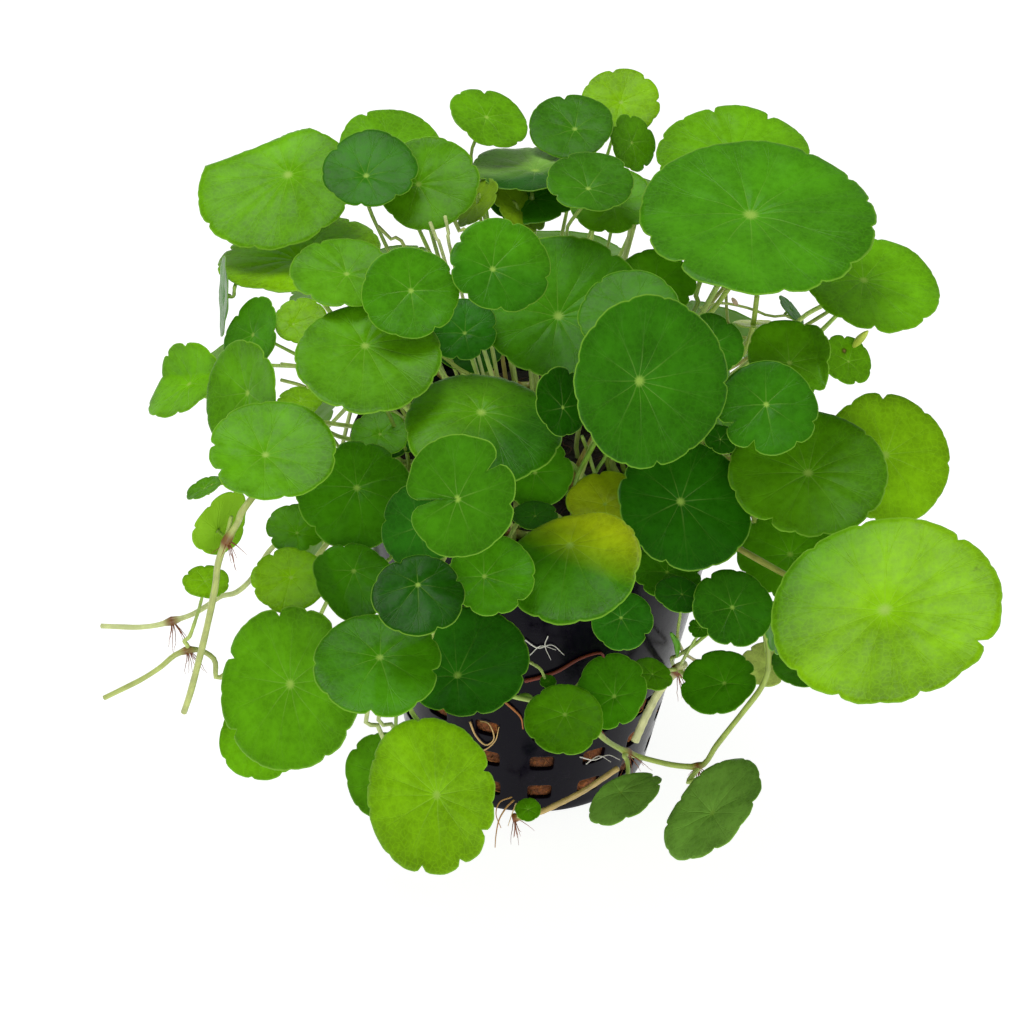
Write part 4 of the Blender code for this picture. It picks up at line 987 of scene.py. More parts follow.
def rim_lobes(notch_turns, notch_depths, rng, radius):
    """Directions, outline and lobe count of a scalloped rim.

    Between two notches the outline is 1 - depth * (1 - |sin(pi t)| ** 0.38) - small teeth, where t
    runs from 0 to 1 along the lobe: round lobes that meet in narrow notches. Notches that were read
    keep their place, and the rest of the rim is shared out evenly with a little chance.
    """
    count = int(np.clip(round(2 * math.pi * radius / LOBE_SPAN + 2), 7, 13))
    step = 2 * math.pi / count
    if len(notch_turns):
        order = np.argsort(notch_turns)
        notch_turns, notch_depths = notch_turns[order], notch_depths[order]
        gaps = np.diff(np.append(notch_turns, notch_turns[0] + 2 * math.pi))
        turns, depths = [], []
        for turn, depth, gap in zip(notch_turns, notch_depths, gaps):
            extra = max(int(round(gap / step)), 1)
            turns += [turn + gap * k / extra for k in range(extra)]
            depths += [depth] + [NOTCH_SHARE * 0.6] * (extra - 1)
        turns, depths = np.array(turns), np.array(depths)
    else:
        turns = rng.uniform(0, step) + step * np.arange(count)
        depths = np.full(count, NOTCH_SHARE)
    count = len(turns)
    turns = turns + rng.uniform(-0.16, 0.16, count) * step * (0.3 if len(notch_turns) else 1)
    crenate = np.clip(CRENATE_RADIUS / radius, 1.0, 2.0)
    depths = depths * crenate * np.where(rng.uniform(size=count) < 0.35, 1.5, 0.6)
    t = np.arange(SAMPLES_PER_LOBE) / SAMPLES_PER_LOBE
    following = np.append(turns[1:], turns[0] + 2 * math.pi)
    turn = (turns[:, None] + (following - turns)[:, None] * t).ravel()
    depth = depths[:, None] * (1 - t) + np.append(depths[1:], depths[0])[:, None] * t
    lobe = depth * (1 - np.abs(np.sin(math.pi * t)) ** 0.38)
    tooth = TOOTH_SHARE * (1 - np.abs(np.sin(3 * math.pi * t)) ** 0.8) * (t > 0.05)
    outline = (1.0 - lobe - tooth).ravel()
    for wave in (2, 3, 4):
        outline += rng.uniform(0.004, 0.015) * np.sin(wave * turn + rng.uniform(0, 6.28))
    return turn, outline / outline.max(), count


def blade_place(pixel, centre, normal):
    """Where the line of sight of a pixel meets the plane of a blade."""
    way = sight(pixel)
    return EYE + way * (((centre - EYE) @ normal) / (way @ normal))


def notches_on_blade(pixels, deep, centre, normal, radius):
    """Directions and depths of notches that were read as pixels, in the plane of the blade."""
    side, top = blade_axes(normal)
    turns, depths = [], []
    for pixel in pixels:
        place = blade_place(pixel, centre, normal) - centre
        turns.append(math.atan2(place @ top, place @ side) % (2 * math.pi))
        depths.append(np.clip(1.0 - np.linalg.norm(place) / radius, 0.04, deep))
    return np.array(turns), np.array(depths)


def bend(flat, rise, fold):
    """Blade points with the part beyond a line turned about it, over a short round bend."""
    direction, distance, angle = math.radians(fold[0]), fold[1], math.radians(fold[2])
    way = np.array([math.cos(direction), math.sin(direction)])
    beyond = flat @ way - distance
    width = 0.16
    share = np.clip(beyond / width, 0, 1)
    turned = angle * share
    arc = np.where(np.abs(turned) > 1e-4, width / angle * np.sin(turned), beyond)
    lift = width / angle * (1 - np.cos(turned))
    rest = np.maximum(beyond - width, 0)
    along = np.where(beyond > 0, arc + rest * math.cos(angle), beyond)
    height = np.where(beyond > 0, lift + rest * math.sin(angle), 0)
    shift = np.where(beyond > 0, along - beyond - rise * np.sin(turned), 0)
    return flat + shift[..., None] * way, np.where(beyond > 0, height + rise * np.cos(turned), rise)


def blade_form(r, turn, outline, count, cup, rng):
    """Rise of the blade over its plane as a share of its radius.

    A dip at the hub, a cup that grows with the square of r, a bulge between each pair of veins, waves
    that grow towards the rim, and a rim whose lobes turn down a little.
    """
    vein = np.arange(len(turn)) / SAMPLES_PER_LOBE
    rise = HUB_DIP * (1 - np.exp(-(r / 0.16) ** 2))
    rise = rise + cup * r ** 2
    between = np.abs(np.cos(math.pi * vein)) ** 1.5
    rise = rise + TISSUE_BULGE * np.sin(math.pi * np.clip(r, 0, 1)) * between * 1.6
    for wave in (2, 3, 5):
        size = RIM_WAVE * rng.uniform(0.25, 1.0) / math.sqrt(wave)
        rise = rise + size * r ** 2.4 * np.sin(wave * turn + rng.uniform(0, 6.28))
    rise = rise - 0.03 * np.clip((r - 0.8) / 0.2, 0, 1) ** 2 * (1 - between * 0.6)
    return rise + 0.006 * np.sin(9 * r + 3 * np.sin(2 * turn + rng.uniform(0, 6.28))) * r


def grow_blade(hub, centre, normal, radius, leaf_look, rng):
    """Patch of one leaf blade: its upper face from the hub to the rim, and its lower face back."""
    side, top = blade_axes(normal)
    turns, depths = notches_on_blade(leaf_look.notches, leaf_look.deep, centre, normal, radius)
    turn, outline, count = rim_lobes(turns, depths, rng, radius)
    r = np.linspace(0, 1, BLADE_RINGS)[:, None] ** 0.85
    hub_flat = np.array([(hub - centre) @ side, (hub - centre) @ top]) / radius
    rim = outline[:, None] * np.stack([np.cos(turn), np.sin(turn)], -1)
    flat = hub_flat * (1 - r[..., None]) + rim * r[..., None]
    rise = blade_form(r, turn, outline, count, leaf_look.cup, rng)
    for fold in leaf_look.folds:
        flat, rise = bend(flat, rise, fold)
    middle = centre + radius * (flat[..., :1] * side + flat[..., 1:] * top
                                + rise[..., None] * normal)
    across = np.gradient(middle, axis=0)
    round_way = np.roll(middle, -1, axis=1) - np.roll(middle, 1, axis=1)
    out = np.cross(across, round_way)
    out[0] = normal
    out /= np.maximum(np.linalg.norm(out, axis=-1), 1e-9)[..., None]
    out *= np.where((out[1:3] @ normal).mean() < 0, -1, 1)
    out[0] = normal
    half = LEAF_SHEET / 2 * np.clip(1.25 - r, 0.45, 1)[..., None]
    upper, lower = middle + out * half, middle - out * half
    edge = middle[-1] + (middle[-1] - middle[-2]) / np.linalg.norm(
        middle[-1] - middle[-2], axis=-1)[:, None] * 0.07
    points = np.concatenate([upper, edge[None], lower[::-1]])
    points[0], points[-1] = upper[0, 0], lower[0, 0]
    along = np.concatenate([r[:, 0], [1.0], r[::-1, 0]])
    under = np.concatenate([np.zeros(BLADE_RINGS), [0.3], np.ones(BLADE_RINGS)])
    tone = np.broadcast_to(rgb(TONES[leaf_look.tone]) * rng.uniform(0.94, 1.06), points.shape)
    # A second tone over part of the blade: painted shade or a painted highlight on some leaves, a real second
    # colour on others
    if leaf_look.blush:
        other, direction, distance = leaf_look.blush
        direction = math.radians(direction)
        across = (points - centre) @ (side * math.cos(direction) + top * math.sin(direction)) / radius
        share = np.clip((across - distance) / SHADE_AND_TINT_WIDTH + 0.5, 0, 1)[..., None]
        tone = tone + (rgb(TONES[other]) - tone) * share
    off = np.full(points.shape[:2], 99.0)
    for pixel, size in leaf_look.marks:
        place = blade_place(pixel, centre, normal)
        off = np.minimum(off, np.linalg.norm(points - place, axis=-1) / size)
    data = np.stack(np.broadcast_arrays(under[:, None], radius / count, off), -1)
    around = np.arange(len(turn) + 1) / SAMPLES_PER_LOBE
    return sheet(points, along, around, "leaf", tone, data)


# Stalks, runners and roots

def swept(line, radii, sides, finish, colour, data):
    """Patch of a round stem: rings about a line, closed by a point at each end.

    A ring stands square to the line. Its first direction is the cross product of the line's own
    direction with the axis along which the line turns least, so neighbouring rings don't twist.
    """
    way = np.gradient(line, axis=0)
    way /= np.maximum(np.linalg.norm(way, axis=1), 1e-9)[:, None]
    least = np.linalg.svd(way, full_matrices=False)[2][2]
    first = np.cross(way, least)
    first /= np.maximum(np.linalg.norm(first, axis=1), 1e-9)[:, None]
    second = np.cross(way, first)
    turn = np.linspace(0, 2 * math.pi, sides, endpoint=False)
    ring = (np.cos(turn)[None, :, None] * first[:, None] + np.sin(turn)[None, :, None]
            * second[:, None])
    rings = line[:, None] + ring * np.broadcast_to(radii, len(line))[:, None, None]
    ends = [np.repeat(line[k][None, None] + way[k] * step * radii_end, sides, axis=1)
            for k, step, radii_end in ((0, -0.4, np.broadcast_to(radii, len(line))[0]),
                                       (-1, 0.4, np.broadcast_to(radii, len(line))[-1]))]
    points = np.concatenate([ends[0], rings, ends[1]])
    steps = np.linalg.norm(np.diff(line, axis=0), axis=1)
    length = np.concatenate([[0], np.cumsum(steps)])
    along = np.concatenate([[0], length, [length[-1]]])
    around = np.linspace(0, 1, sides + 1)
    colour, data = np.atleast_2d(colour), np.atleast_2d(data)
    if len(colour) > 1:
        colour = np.vstack([colour[:1], colour, colour[-1:]])
    if len(data) > 1:
        data = np.vstack([data[:1], data, data[-1:]])
    return sheet(points, along, around, finish, colour, data)


def grow_stalk(line, normal, radius, tone, rng):
    """Patch of a leaf stalk: pale at its root, greener and thinner towards the blade."""
    line = smooth_path(line, STALK_RINGS)
    line[-1] -= normal * 0.25
    share = np.linspace(0, 1, STALK_RINGS)
    size = np.clip(0.55 + radius / 28, 0.6, 1.25)
    radii = (STALK_THICK + (STALK_THIN - STALK_THICK) * share) * size
    radii = radii + 0.35 * size * np.exp(-((1 - share) / 0.015) ** 2)
    radii = radii + 0.02 * np.sin(share * 40 + rng.uniform(0, 6.28))
    pale, green = rgb("#b9c970"), rgb("#98b84a") * 0.75 + rgb(TONES[tone]) * 0.25
    if rng.uniform() < 0.2:
        pale = rgb("#a88f50")
    colour = pale + (green - pale) * share[:, None] ** 1.3
    data = np.stack([share, np.full(STALK_RINGS, rng.uniform()), np.zeros(STALK_RINGS)], -1)
    return swept(line, radii, STEM_SIDES, "stalk", colour, data)


def grow_runner(line, knots, rng, radius, colour):
    """Patch of a runner: an even stem that swells and browns at its knots."""
    line = smooth_path(line, 90)
    colour = np.repeat(rgb(colour)[None], len(line), axis=0)
    radii = np.full(len(line), radius) * (1 + 0.04 * np.sin(np.arange(len(line)) * 0.7))
    brown = rgb("#7c4414")
    for knot in knots:
        near = np.exp(-(np.linalg.norm(line - knot, axis=1) / KNOT_LENGTH) ** 2)
        radii = radii + near * KNOT_SWELL
        colour = colour + (brown - colour) * np.clip(near * 1.2, 0, 1)[:, None]
    share = np.linspace(0, 1, len(line))
    data = np.stack([share, np.full(len(line), rng.uniform()), np.zeros(len(line))], -1)
    return swept(line, radii, STEM_SIDES, "runner", colour, data)


def grow_hairs(place, way, count, length, rng, colour="#8a4a1e", thick=0.11):
    """Patches of fine roots that leave a knot in a bunch, each on its own wavering line."""
    patches = []
    steps = np.linspace(0, 1, 9)[:, None]
    for _ in range(count):
        heading = unit(unit(way) + rng.normal(0, 0.45, 3))
        side = rng.normal(0, 1, 3)
        reach = length * rng.uniform(0.5, 1.1)
        line = place + heading * reach * steps + side * reach * 0.16 * steps ** 2
        line = line + np.array([0, 0, -1.0]) * reach * 0.25 * steps ** 2
        line = line + rng.normal(0, 0.05 * reach / 3, (9, 3)) * steps
        radii = thick * (1.1 - 0.8 * steps[:, 0])
        patches.append(swept(line, radii, 5, "root", rgb(colour) * rng.uniform(0.75, 1.2), 0.5))
    return patches


# Net pot and filling

POT_CELL_STEPS = 10
HOLE_ROUNDNESS = 6.0
CELL_RINGS = 4
HOLE_BAND = 8.5


def wall_radius(height):
    """Radius of the pot's outer wall at a height."""
    share = (height - 1.2) / (POT_HEIGHT - LIP_HEIGHT - 0.6 - 1.2)
    return BASE_RADIUS + (RIM_RADIUS - LIP_OUT - BASE_RADIUS) * share


def turned_strip(radii, heights, columns):
    """Grid of a turned surface: a profile carried round the axis, as points and quads."""
    turn = np.linspace(0, 2 * math.pi, columns, endpoint=False)
    radii, heights = np.asarray(radii, float)[:, None], np.asarray(heights, float)[:, None]
    points = np.stack([radii * np.cos(turn), radii * np.sin(turn),
                       heights + np.zeros_like(radii * turn)], -1)
    column = np.arange(columns)
    row = np.arange(len(radii) - 1)[:, None] * columns
    after = (column + 1) % columns
    quads = np.stack([row + column, row + after, row + columns + after, row + columns + column], -1)
    return points.reshape(-1, 3), quads.reshape(-1, 4)


def opening_cells():
    """Wall around the openings: each cell is a ring of quads from a rounded opening to a rectangle.

    The rectangle is walked in even steps, and each of its points is joined to the point of a
    superellipse (|x / a| ** p + |y / b| ** p = 1) that lies in the same direction.
    """
    steps = np.linspace(-1, 1, POT_CELL_STEPS + 1)[:-1]
    one = np.ones(POT_CELL_STEPS)
    walk = np.concatenate([np.stack([steps, -one], -1), np.stack([one, steps], -1),
                           np.stack([-steps, one], -1), np.stack([-one, -steps], -1)])
    size = (np.abs(walk) ** HOLE_ROUNDNESS).sum(axis=1) ** (1 / HOLE_ROUNDNESS)
    hole = walk / size[:, None]
    half_cell = math.pi / HOLES_AROUND
    points, quads = [], []
    around = len(walk)
    column = np.arange(around)
    after = (column + 1) % around
    ring = np.arange(CELL_RINGS)[:, None] * around
    cell_quads = np.stack([ring + column, ring + around + column, ring + around + after, ring + after],
                          -1).reshape(-1, 4)
    shares = np.linspace(0, 1, CELL_RINGS + 1)[:, None] ** 1.6
    for row in HOLE_ROWS:
        wide = HOLE_WIDTH / 2 / wall_radius(row)
        for k in range(HOLES_AROUND):
            middle = 2 * math.pi * (k + 0.25) / HOLES_AROUND
            turn = middle + hole[:, 0] * wide * (1 - shares) + walk[:, 0] * half_cell * shares
            height = row + hole[:, 1] * HOLE_HEIGHT / 2 * (1 - shares) \
                + walk[:, 1] * HOLE_BAND / 2 * shares
            radius = wall_radius(height)
            grid = np.stack([radius * np.cos(turn), radius * np.sin(turn), height], -1)
            quads.append(cell_quads + sum(len(block) for block in points))
            points.append(grid.reshape(-1, 3))
    return np.vstack(points), np.vstack(quads)


def make_pot(finishes):
    """The moulded net pot: one sheet turned and pierced, given its wall by Solidify."""
    columns = HOLES_AROUND * POT_CELL_STEPS
    band_low = HOLE_ROWS[0] - HOLE_BAND / 2
    band_high = HOLE_ROWS[-1] + HOLE_BAND / 2
    start = 2 * math.pi * (0.25 - 0.5) / HOLES_AROUND
    foot_heights = [0.0, 0.0, 0.0, 0.35, 1.2, band_low]
    foot_radii = [0.02, 18.0, BASE_RADIUS - 1.0, BASE_RADIUS - 0.3, wall_radius(1.2),
                  wall_radius(band_low)]
    high = np.linspace(band_high, POT_HEIGHT - LIP_HEIGHT - 0.6, 14)
    wall_heights = [*high, POT_HEIGHT - LIP_HEIGHT, POT_HEIGHT - LIP_HEIGHT + 0.3,
                    POT_HEIGHT - 0.5, POT_HEIGHT - 0.1]
    wall_radii = [*wall_radius(high), RIM_RADIUS - 0.2, RIM_RADIUS, RIM_RADIUS, RIM_RADIUS - 0.25]
    mesh = bpy.data.meshes.new("net_pot")
    blocks = [turned_strip(foot_radii, foot_heights, columns), opening_cells(),
              turned_strip(wall_radii, wall_heights, columns)]
    spin = np.array([[math.cos(start), -math.sin(start)], [math.sin(start), math.cos(start)]])
    vertices, faces = [], []
    for k, (points, quads) in enumerate(blocks):
        if k != 1:
            points[:, :2] = points[:, :2] @ spin.T
        faces.append(quads + sum(len(block) for block in vertices))
        vertices.append(points)
    mesh.from_pydata(np.vstack(vertices) * MM, [], np.vstack(faces).tolist())
    work = bmesh.new()
    work.from_mesh(mesh)
    bmesh.ops.remove_doubles(work, verts=work.verts, dist=0.04 * MM)
    bmesh.ops.recalc_face_normals(work, faces=work.faces)
    work.to_mesh(mesh)
    work.free()
    mesh.materials.append(finishes["pot"])
    mesh.shade_smooth()
    pot = add_piece("net_pot", mesh, "pot", "pot")
    wall = pot.modifiers.new("wall", "SOLIDIFY")
    wall.thickness = POT_WALL * MM
    wall.offset = -1
    soft = pot.modifiers.new("soft_edges", "BEVEL")
    soft.width = 0.22 * MM
    soft.segments = 2
    soft.limit_method = "ANGLE"
    soft.angle_limit = math.radians(40)
    return pot


def make_filling(finishes, rng):
    """Coconut fibre in the pot: a turned body whose skin is lumpy and pushes into the openings."""
    columns = 192
    turn = np.linspace(0, 2 * math.pi, columns, endpoint=False)
    side_heights = np.linspace(1.7, SOIL_TOP - 1.0, 90)
    side_radii = wall_radius(side_heights) - POT_WALL - 0.12
    top_radii = np.linspace(side_radii[-1], 0, 26)[1:]
    top_heights = SOIL_TOP - 0.9 + 1.4 * np.sqrt(np.clip(1 - (top_radii / side_radii[-1]) ** 4, 0, 1))
    floor_radii = np.linspace(0, side_radii[0], 8)[:-1]
    radii = np.concatenate([floor_radii, side_radii, top_radii])
    heights = np.concatenate([np.full(7, 1.7), side_heights, top_heights])
    lumps = np.zeros((len(radii), columns))
    for size in (5, 9, 17, 31, 54):
        phase = rng.uniform(0, 6.28, 2)
        lumps += np.sin(size * turn + phase[0] + 2 * np.sin(heights[:, None] * 0.11 * size / 5)) \
            * np.sin(heights[:, None] * size * 0.075 + radii[:, None] * size * 0.11 + phase[1]) / size
    lumps *= 3.0
    push = np.zeros_like(lumps)
    for row in HOLE_ROWS:
        for k in range(HOLES_AROUND):
            middle = 2 * math.pi * (k + 0.25) / HOLES_AROUND
            off = (turn - middle + math.pi) % (2 * math.pi) - math.pi
            push += np.exp(-(off * wall_radius(row) / 1.9) ** 4
                           - ((heights[:, None] - row) / 1.6) ** 4)
    on_side = ((heights > 2.5) & (radii > 20) & (heights < SOIL_TOP - 1.5))[:, None]
    radius = radii[:, None] - on_side * 0.25 + on_side * push * (0.75 + 0.45 * lumps)
    height = heights[:, None] + ~on_side * (heights[:, None] > 20) * lumps * 1.6 \
        * np.clip(radii / 6, 0, 1)[:, None]
    points = np.stack([radius * np.cos(turn), radius * np.sin(turn),
                       height + np.zeros_like(radius)], -1)
    data = np.zeros((len(radii), 3))
    # The fibre darkens from 45 mm up towards the top
    toward_top = np.clip((heights - 45) / 15, 0, 1)[:, None]
    colour = rgb("#7a4218") + (rgb("#1c0f07") - rgb("#7a4218")) * toward_top
    body = sheet(points, np.arange(len(radii)) * 1.0, np.linspace(0, 1, columns + 1), "fibre",
                 colour, data)
    patches = [body] + fibre_strands(rng)
    add_piece("coconut_fibre", write_mesh("coconut_fibre", patches, finishes), "soil", "soil")


def fibre_strands(rng):
    """Loose strands on top of the filling and out of the openings, each a short curved hair."""
    patches = []
    steps = np.linspace(0, 1, 7)[:, None]
    for k in range(260):
        turn, reach = rng.uniform(0, 2 * math.pi), SOIL_REACH * math.sqrt(rng.uniform(0, 1))
        start = np.array([math.cos(turn) * reach, math.sin(turn) * reach, SOIL_TOP + 0.3])
        heading = rng.normal(0, 1, 3) * [1, 1, 0.22]
        length = rng.uniform(3, 9)
        line = start + unit(heading) * length * (steps - 0.5)
        line = line + np.cross(unit(heading), [0, 0, 1]) * np.sin(math.pi * steps) * rng.normal(0, 1.4)
        line[:, 2] = SOIL_TOP + 0.3 + rng.uniform(0, 0.8) + np.sin(math.pi * steps[:, 0]) * 0.8
        inside = np.linalg.norm(line[:, :2], axis=1).max() < SOIL_REACH + 2
        if inside:
            patches.append(swept(line, rng.uniform(0.08, 0.17), 4, "fibre",
                                 rgb("#3a2212") * rng.uniform(0.6, 1.5), 0.5))
    for row in HOLE_ROWS:
        for k in range(HOLES_AROUND):
            middle = 2 * math.pi * (k + 0.25) / HOLES_AROUND
            for _ in range(5):
                at = middle + rng.uniform(-1.8, 1.8) / wall_radius(row)
                height = row + rng.uniform(-1.4, 1.4)
                lean = rng.normal(0, 1.6, 2)
                bow = np.sin(math.pi * steps[:, 0]) * rng.uniform(0.2, 0.9)
                angle = at + lean[0] / 27 * (steps[:, 0] - 0.5)
                up = height + lean[1] * (steps[:, 0] - 0.5)
                radius = wall_radius(up) - 1.0 + bow
                line = np.stack([radius * np.cos(angle), radius * np.sin(angle), up], -1)
                patches.append(swept(line, rng.uniform(0.07, 0.14), 4, "fibre",
                                     rgb("#9a602c") * rng.uniform(0.7, 1.5), 0.5))
    return patches


# Small grown things that only the photograph's side shows, by pixel

def wall_place(column, row, lift=0.35):
    """Where a line of sight meets the pot's outer wall, lifted off it a little."""
    way = sight((column, row))
    near, far = EYE_DISTANCE - 80.0, EYE_DISTANCE + 5.0
    for _ in range(40):
        middle = (near + far) / 2
        place = EYE + way * middle
        outside = np.linalg.norm(place[:2]) > wall_radius(place[2]) + lift
        near, far = (middle, far) if outside else (near, middle)
    return EYE + way * near


WallRoot = namedtuple("WallRoot", "colour thick pixels")
WALL_ROOTS = [
    WallRoot("#7a2a16", 0.38, [(525, 681), (541, 677), (558, 671), (581, 658), (601, 653), (603, 664),
                               (599, 673), (590, 679)]),
    WallRoot("#a8642c", 0.24, [(505, 702), (514, 710), (521, 718), (523, 729)]),
    WallRoot("#e6e0da", 0.13, [(525, 640), (538, 648), (552, 645), (564, 655)]),
    WallRoot("#e6e0da", 0.11, [(530, 655), (541, 646), (556, 650)]),
    WallRoot("#e6e0da", 0.10, [(548, 636), (545, 646), (551, 660)]),
    WallRoot("#e6e0da", 0.13, [(580, 757), (594, 760), (608, 755), (620, 760)]),
    WallRoot("#e6e0da", 0.10, [(586, 764), (599, 756), (611, 762)]),
    WallRoot("#c9a56a", 0.20, [(470, 722), (476, 736), (486, 745), (494, 738), (489, 724), (480, 721)]),
    WallRoot("#c9a56a", 0.16, [(474, 747), (484, 750), (495, 741), (499, 727)]),
    WallRoot("#b98a4a", 0.18, [(514, 800), (506, 808), (499, 820), (496, 835), (495, 848)]),
    WallRoot("#b98a4a", 0.15, [(512, 797), (500, 802), (496, 814), (501, 828)]),
    WallRoot("#d8b87c", 0.13, [(516, 803), (512, 814), (508, 826)]),
]


def make_wall_roots(finishes, rng):
    """Fine roots that lie on the pot's wall."""
    patches = []
    for root in WALL_ROOTS:
        line = smooth_path([wall_place(*pixel) for pixel in root.pixels], 28)
        radii = root.thick * (1.1 - 0.6 * np.linspace(0, 1, len(line)))
        patches.append(swept(line, radii, 8, "root", rgb(root.colour), 0.5))
    add_piece("wall_roots", write_mesh("wall_roots", patches, finishes), "runner")


# The plant

def make_plant(finishes, rng):
    """Every node's leaves, stalks and stems as one grown piece that stands for the node."""
    rows, hubs, centres, normals, radii, stalks, stems, runner_points = plan_plant()
    grown = {}
    for k, row in enumerate(rows):
        node = row.plant or "leaf_" + row.name
        far = row.name.startswith("far")
        leaf_look = look(FAR_TONES[k % len(FAR_TONES)]) if far else LOOKS[row.name]
        patches = grown.setdefault(node, [])
        patches.append(grow_blade(hubs[k], centres[k], normals[k], radii[k], leaf_look, rng))
        patches.append(grow_stalk(stalks[k], normals[k], radii[k], leaf_look.tone, rng))
    for tuft in TUFTS:
        line = tuft_roots(tuft, 24)
        grown[tuft.name].append(grow_runner(line, line[2::5], rng, STEM_RADIUS * 0.9, "#96a250"))
    for runner in RUNNERS:
        knots = [runner_points[runner.name][k] for k in runner.joints]
        patches = grown.setdefault(runner.name, [])
        patches.append(grow_runner(stems[runner.name], knots, rng, *RUNNER_LOOKS[runner.name]))
        for knot in knots:
            patches += grow_hairs(knot, np.array([0.3, -0.3, -0.6]), 9, 5.0, rng)
    for node, patches in grown.items():
        slot = "runner" if node.startswith("runner") else "far" if "back" in node else "leaf"
        add_piece(node + "_grown", write_mesh(node + "_grown", patches, finishes), slot, node)


def make_small_leaves(finishes, rng):
    """The leaves too small for a solid, the stalks between the leaves, and the buds."""
    patches = []
    for row in SMALL_LEAVES:
        hub = reading_place(*row.star, row.front)
        normal = facing(sight(row.star), row.squash, row.lean)
        patches.append(grow_blade(hub, hub, normal, row.across / 2, look(row.tone), rng))
        start = [reading_place(*reading) for reading in row.stalk]
        if not start:
            root = np.array([hub[0] * 0.35, hub[1] * 0.35, SOIL_TOP])
            start = [root, root + np.array([0, 0, 12.0])]
        line = smooth_path([*start, hub - normal * 1.2, hub], ROUTE_POINTS)
        patches.append(grow_stalk(line, normal, row.across / 2, row.tone, rng))
    for row in STRAY_STALKS:
        places = [reading_place(*reading) for reading in row.readings]
        if row.root is not None:
            foot = places[row.root] * [0.5, 0.5, 0] + [0, 0, SOIL_TOP]
            rise = over_rim(foot) if row.root == 0 else foot + [0, 0, 9.0]
            places = [foot, rise] + places if row.root == 0 else places + [rise, foot]
        line = smooth_path(places, 36)
        patches.append(swept(line, row.thick, STEM_SIDES, "stalk", rgb(row.colour), 0.5))
    for row in BUDS:
        line = smooth_path([reading_place(*reading) for reading in row.readings], 16)
        radii = row.thick * np.sin(np.linspace(0.25, math.pi - 0.1, 16)) ** 0.7
        patches.append(swept(line, radii, STEM_SIDES, "stalk", rgb(row.colour), 0.5))
    add_piece("small_leaves", write_mesh("small_leaves", patches, finishes), "leaf")


# Materials

def add_node(tree, kind, settings=(), **links):
    """A shader node with its settings, and its inputs set to a value or linked to a socket."""
    made = tree.nodes.new("ShaderNode" + kind)
    for key, value in dict(settings).items():
        setattr(made, key, value)
    for key, value in links.items():
        socket = made.inputs[int(key[1:])] if key[0] == "i" and key[1:].isdigit() \
            else made.inputs[key.replace("_", " ")]
        if isinstance(value, bpy.types.NodeSocket):
            tree.links.new(value, socket)
        else:
            socket.default_value = value
    return made


def new_material(name):
    """A material with its tree and its Principled shader."""
    material = bpy.data.materials.new(name)
    material.use_nodes = True
    return material, material.node_tree, material.node_tree.nodes["Principled BSDF"]


def math_node(tree, operation, first, second=0.5, third=0.5):
    """Result of one sum on numbers."""
    return add_node(tree, "Math", {"operation": operation}, i0=first, i1=second, i2=third).outputs[0]


def blend_colour(tree, share, first, second, mode="MIX"):
    """Two colours mixed by a share."""
    made = add_node(tree, "Mix", {"data_type": "RGBA", "blend_type": mode}, i0=share, i6=first,
                    i7=second)
    return made.outputs[2]


def ramp(tree, value, low, high, start=0.0, end=1.0):
    """A number carried smoothly from one range to another."""
    return add_node(tree, "MapRange", {"interpolation_type": "SMOOTHSTEP"}, i0=value, i1=low, i2=high,
                    i3=start, i4=end).outputs[0]


def colour4(colour):
    """A hex colour as the four numbers of a colour socket."""
    return (*rgb(colour), 1.0)


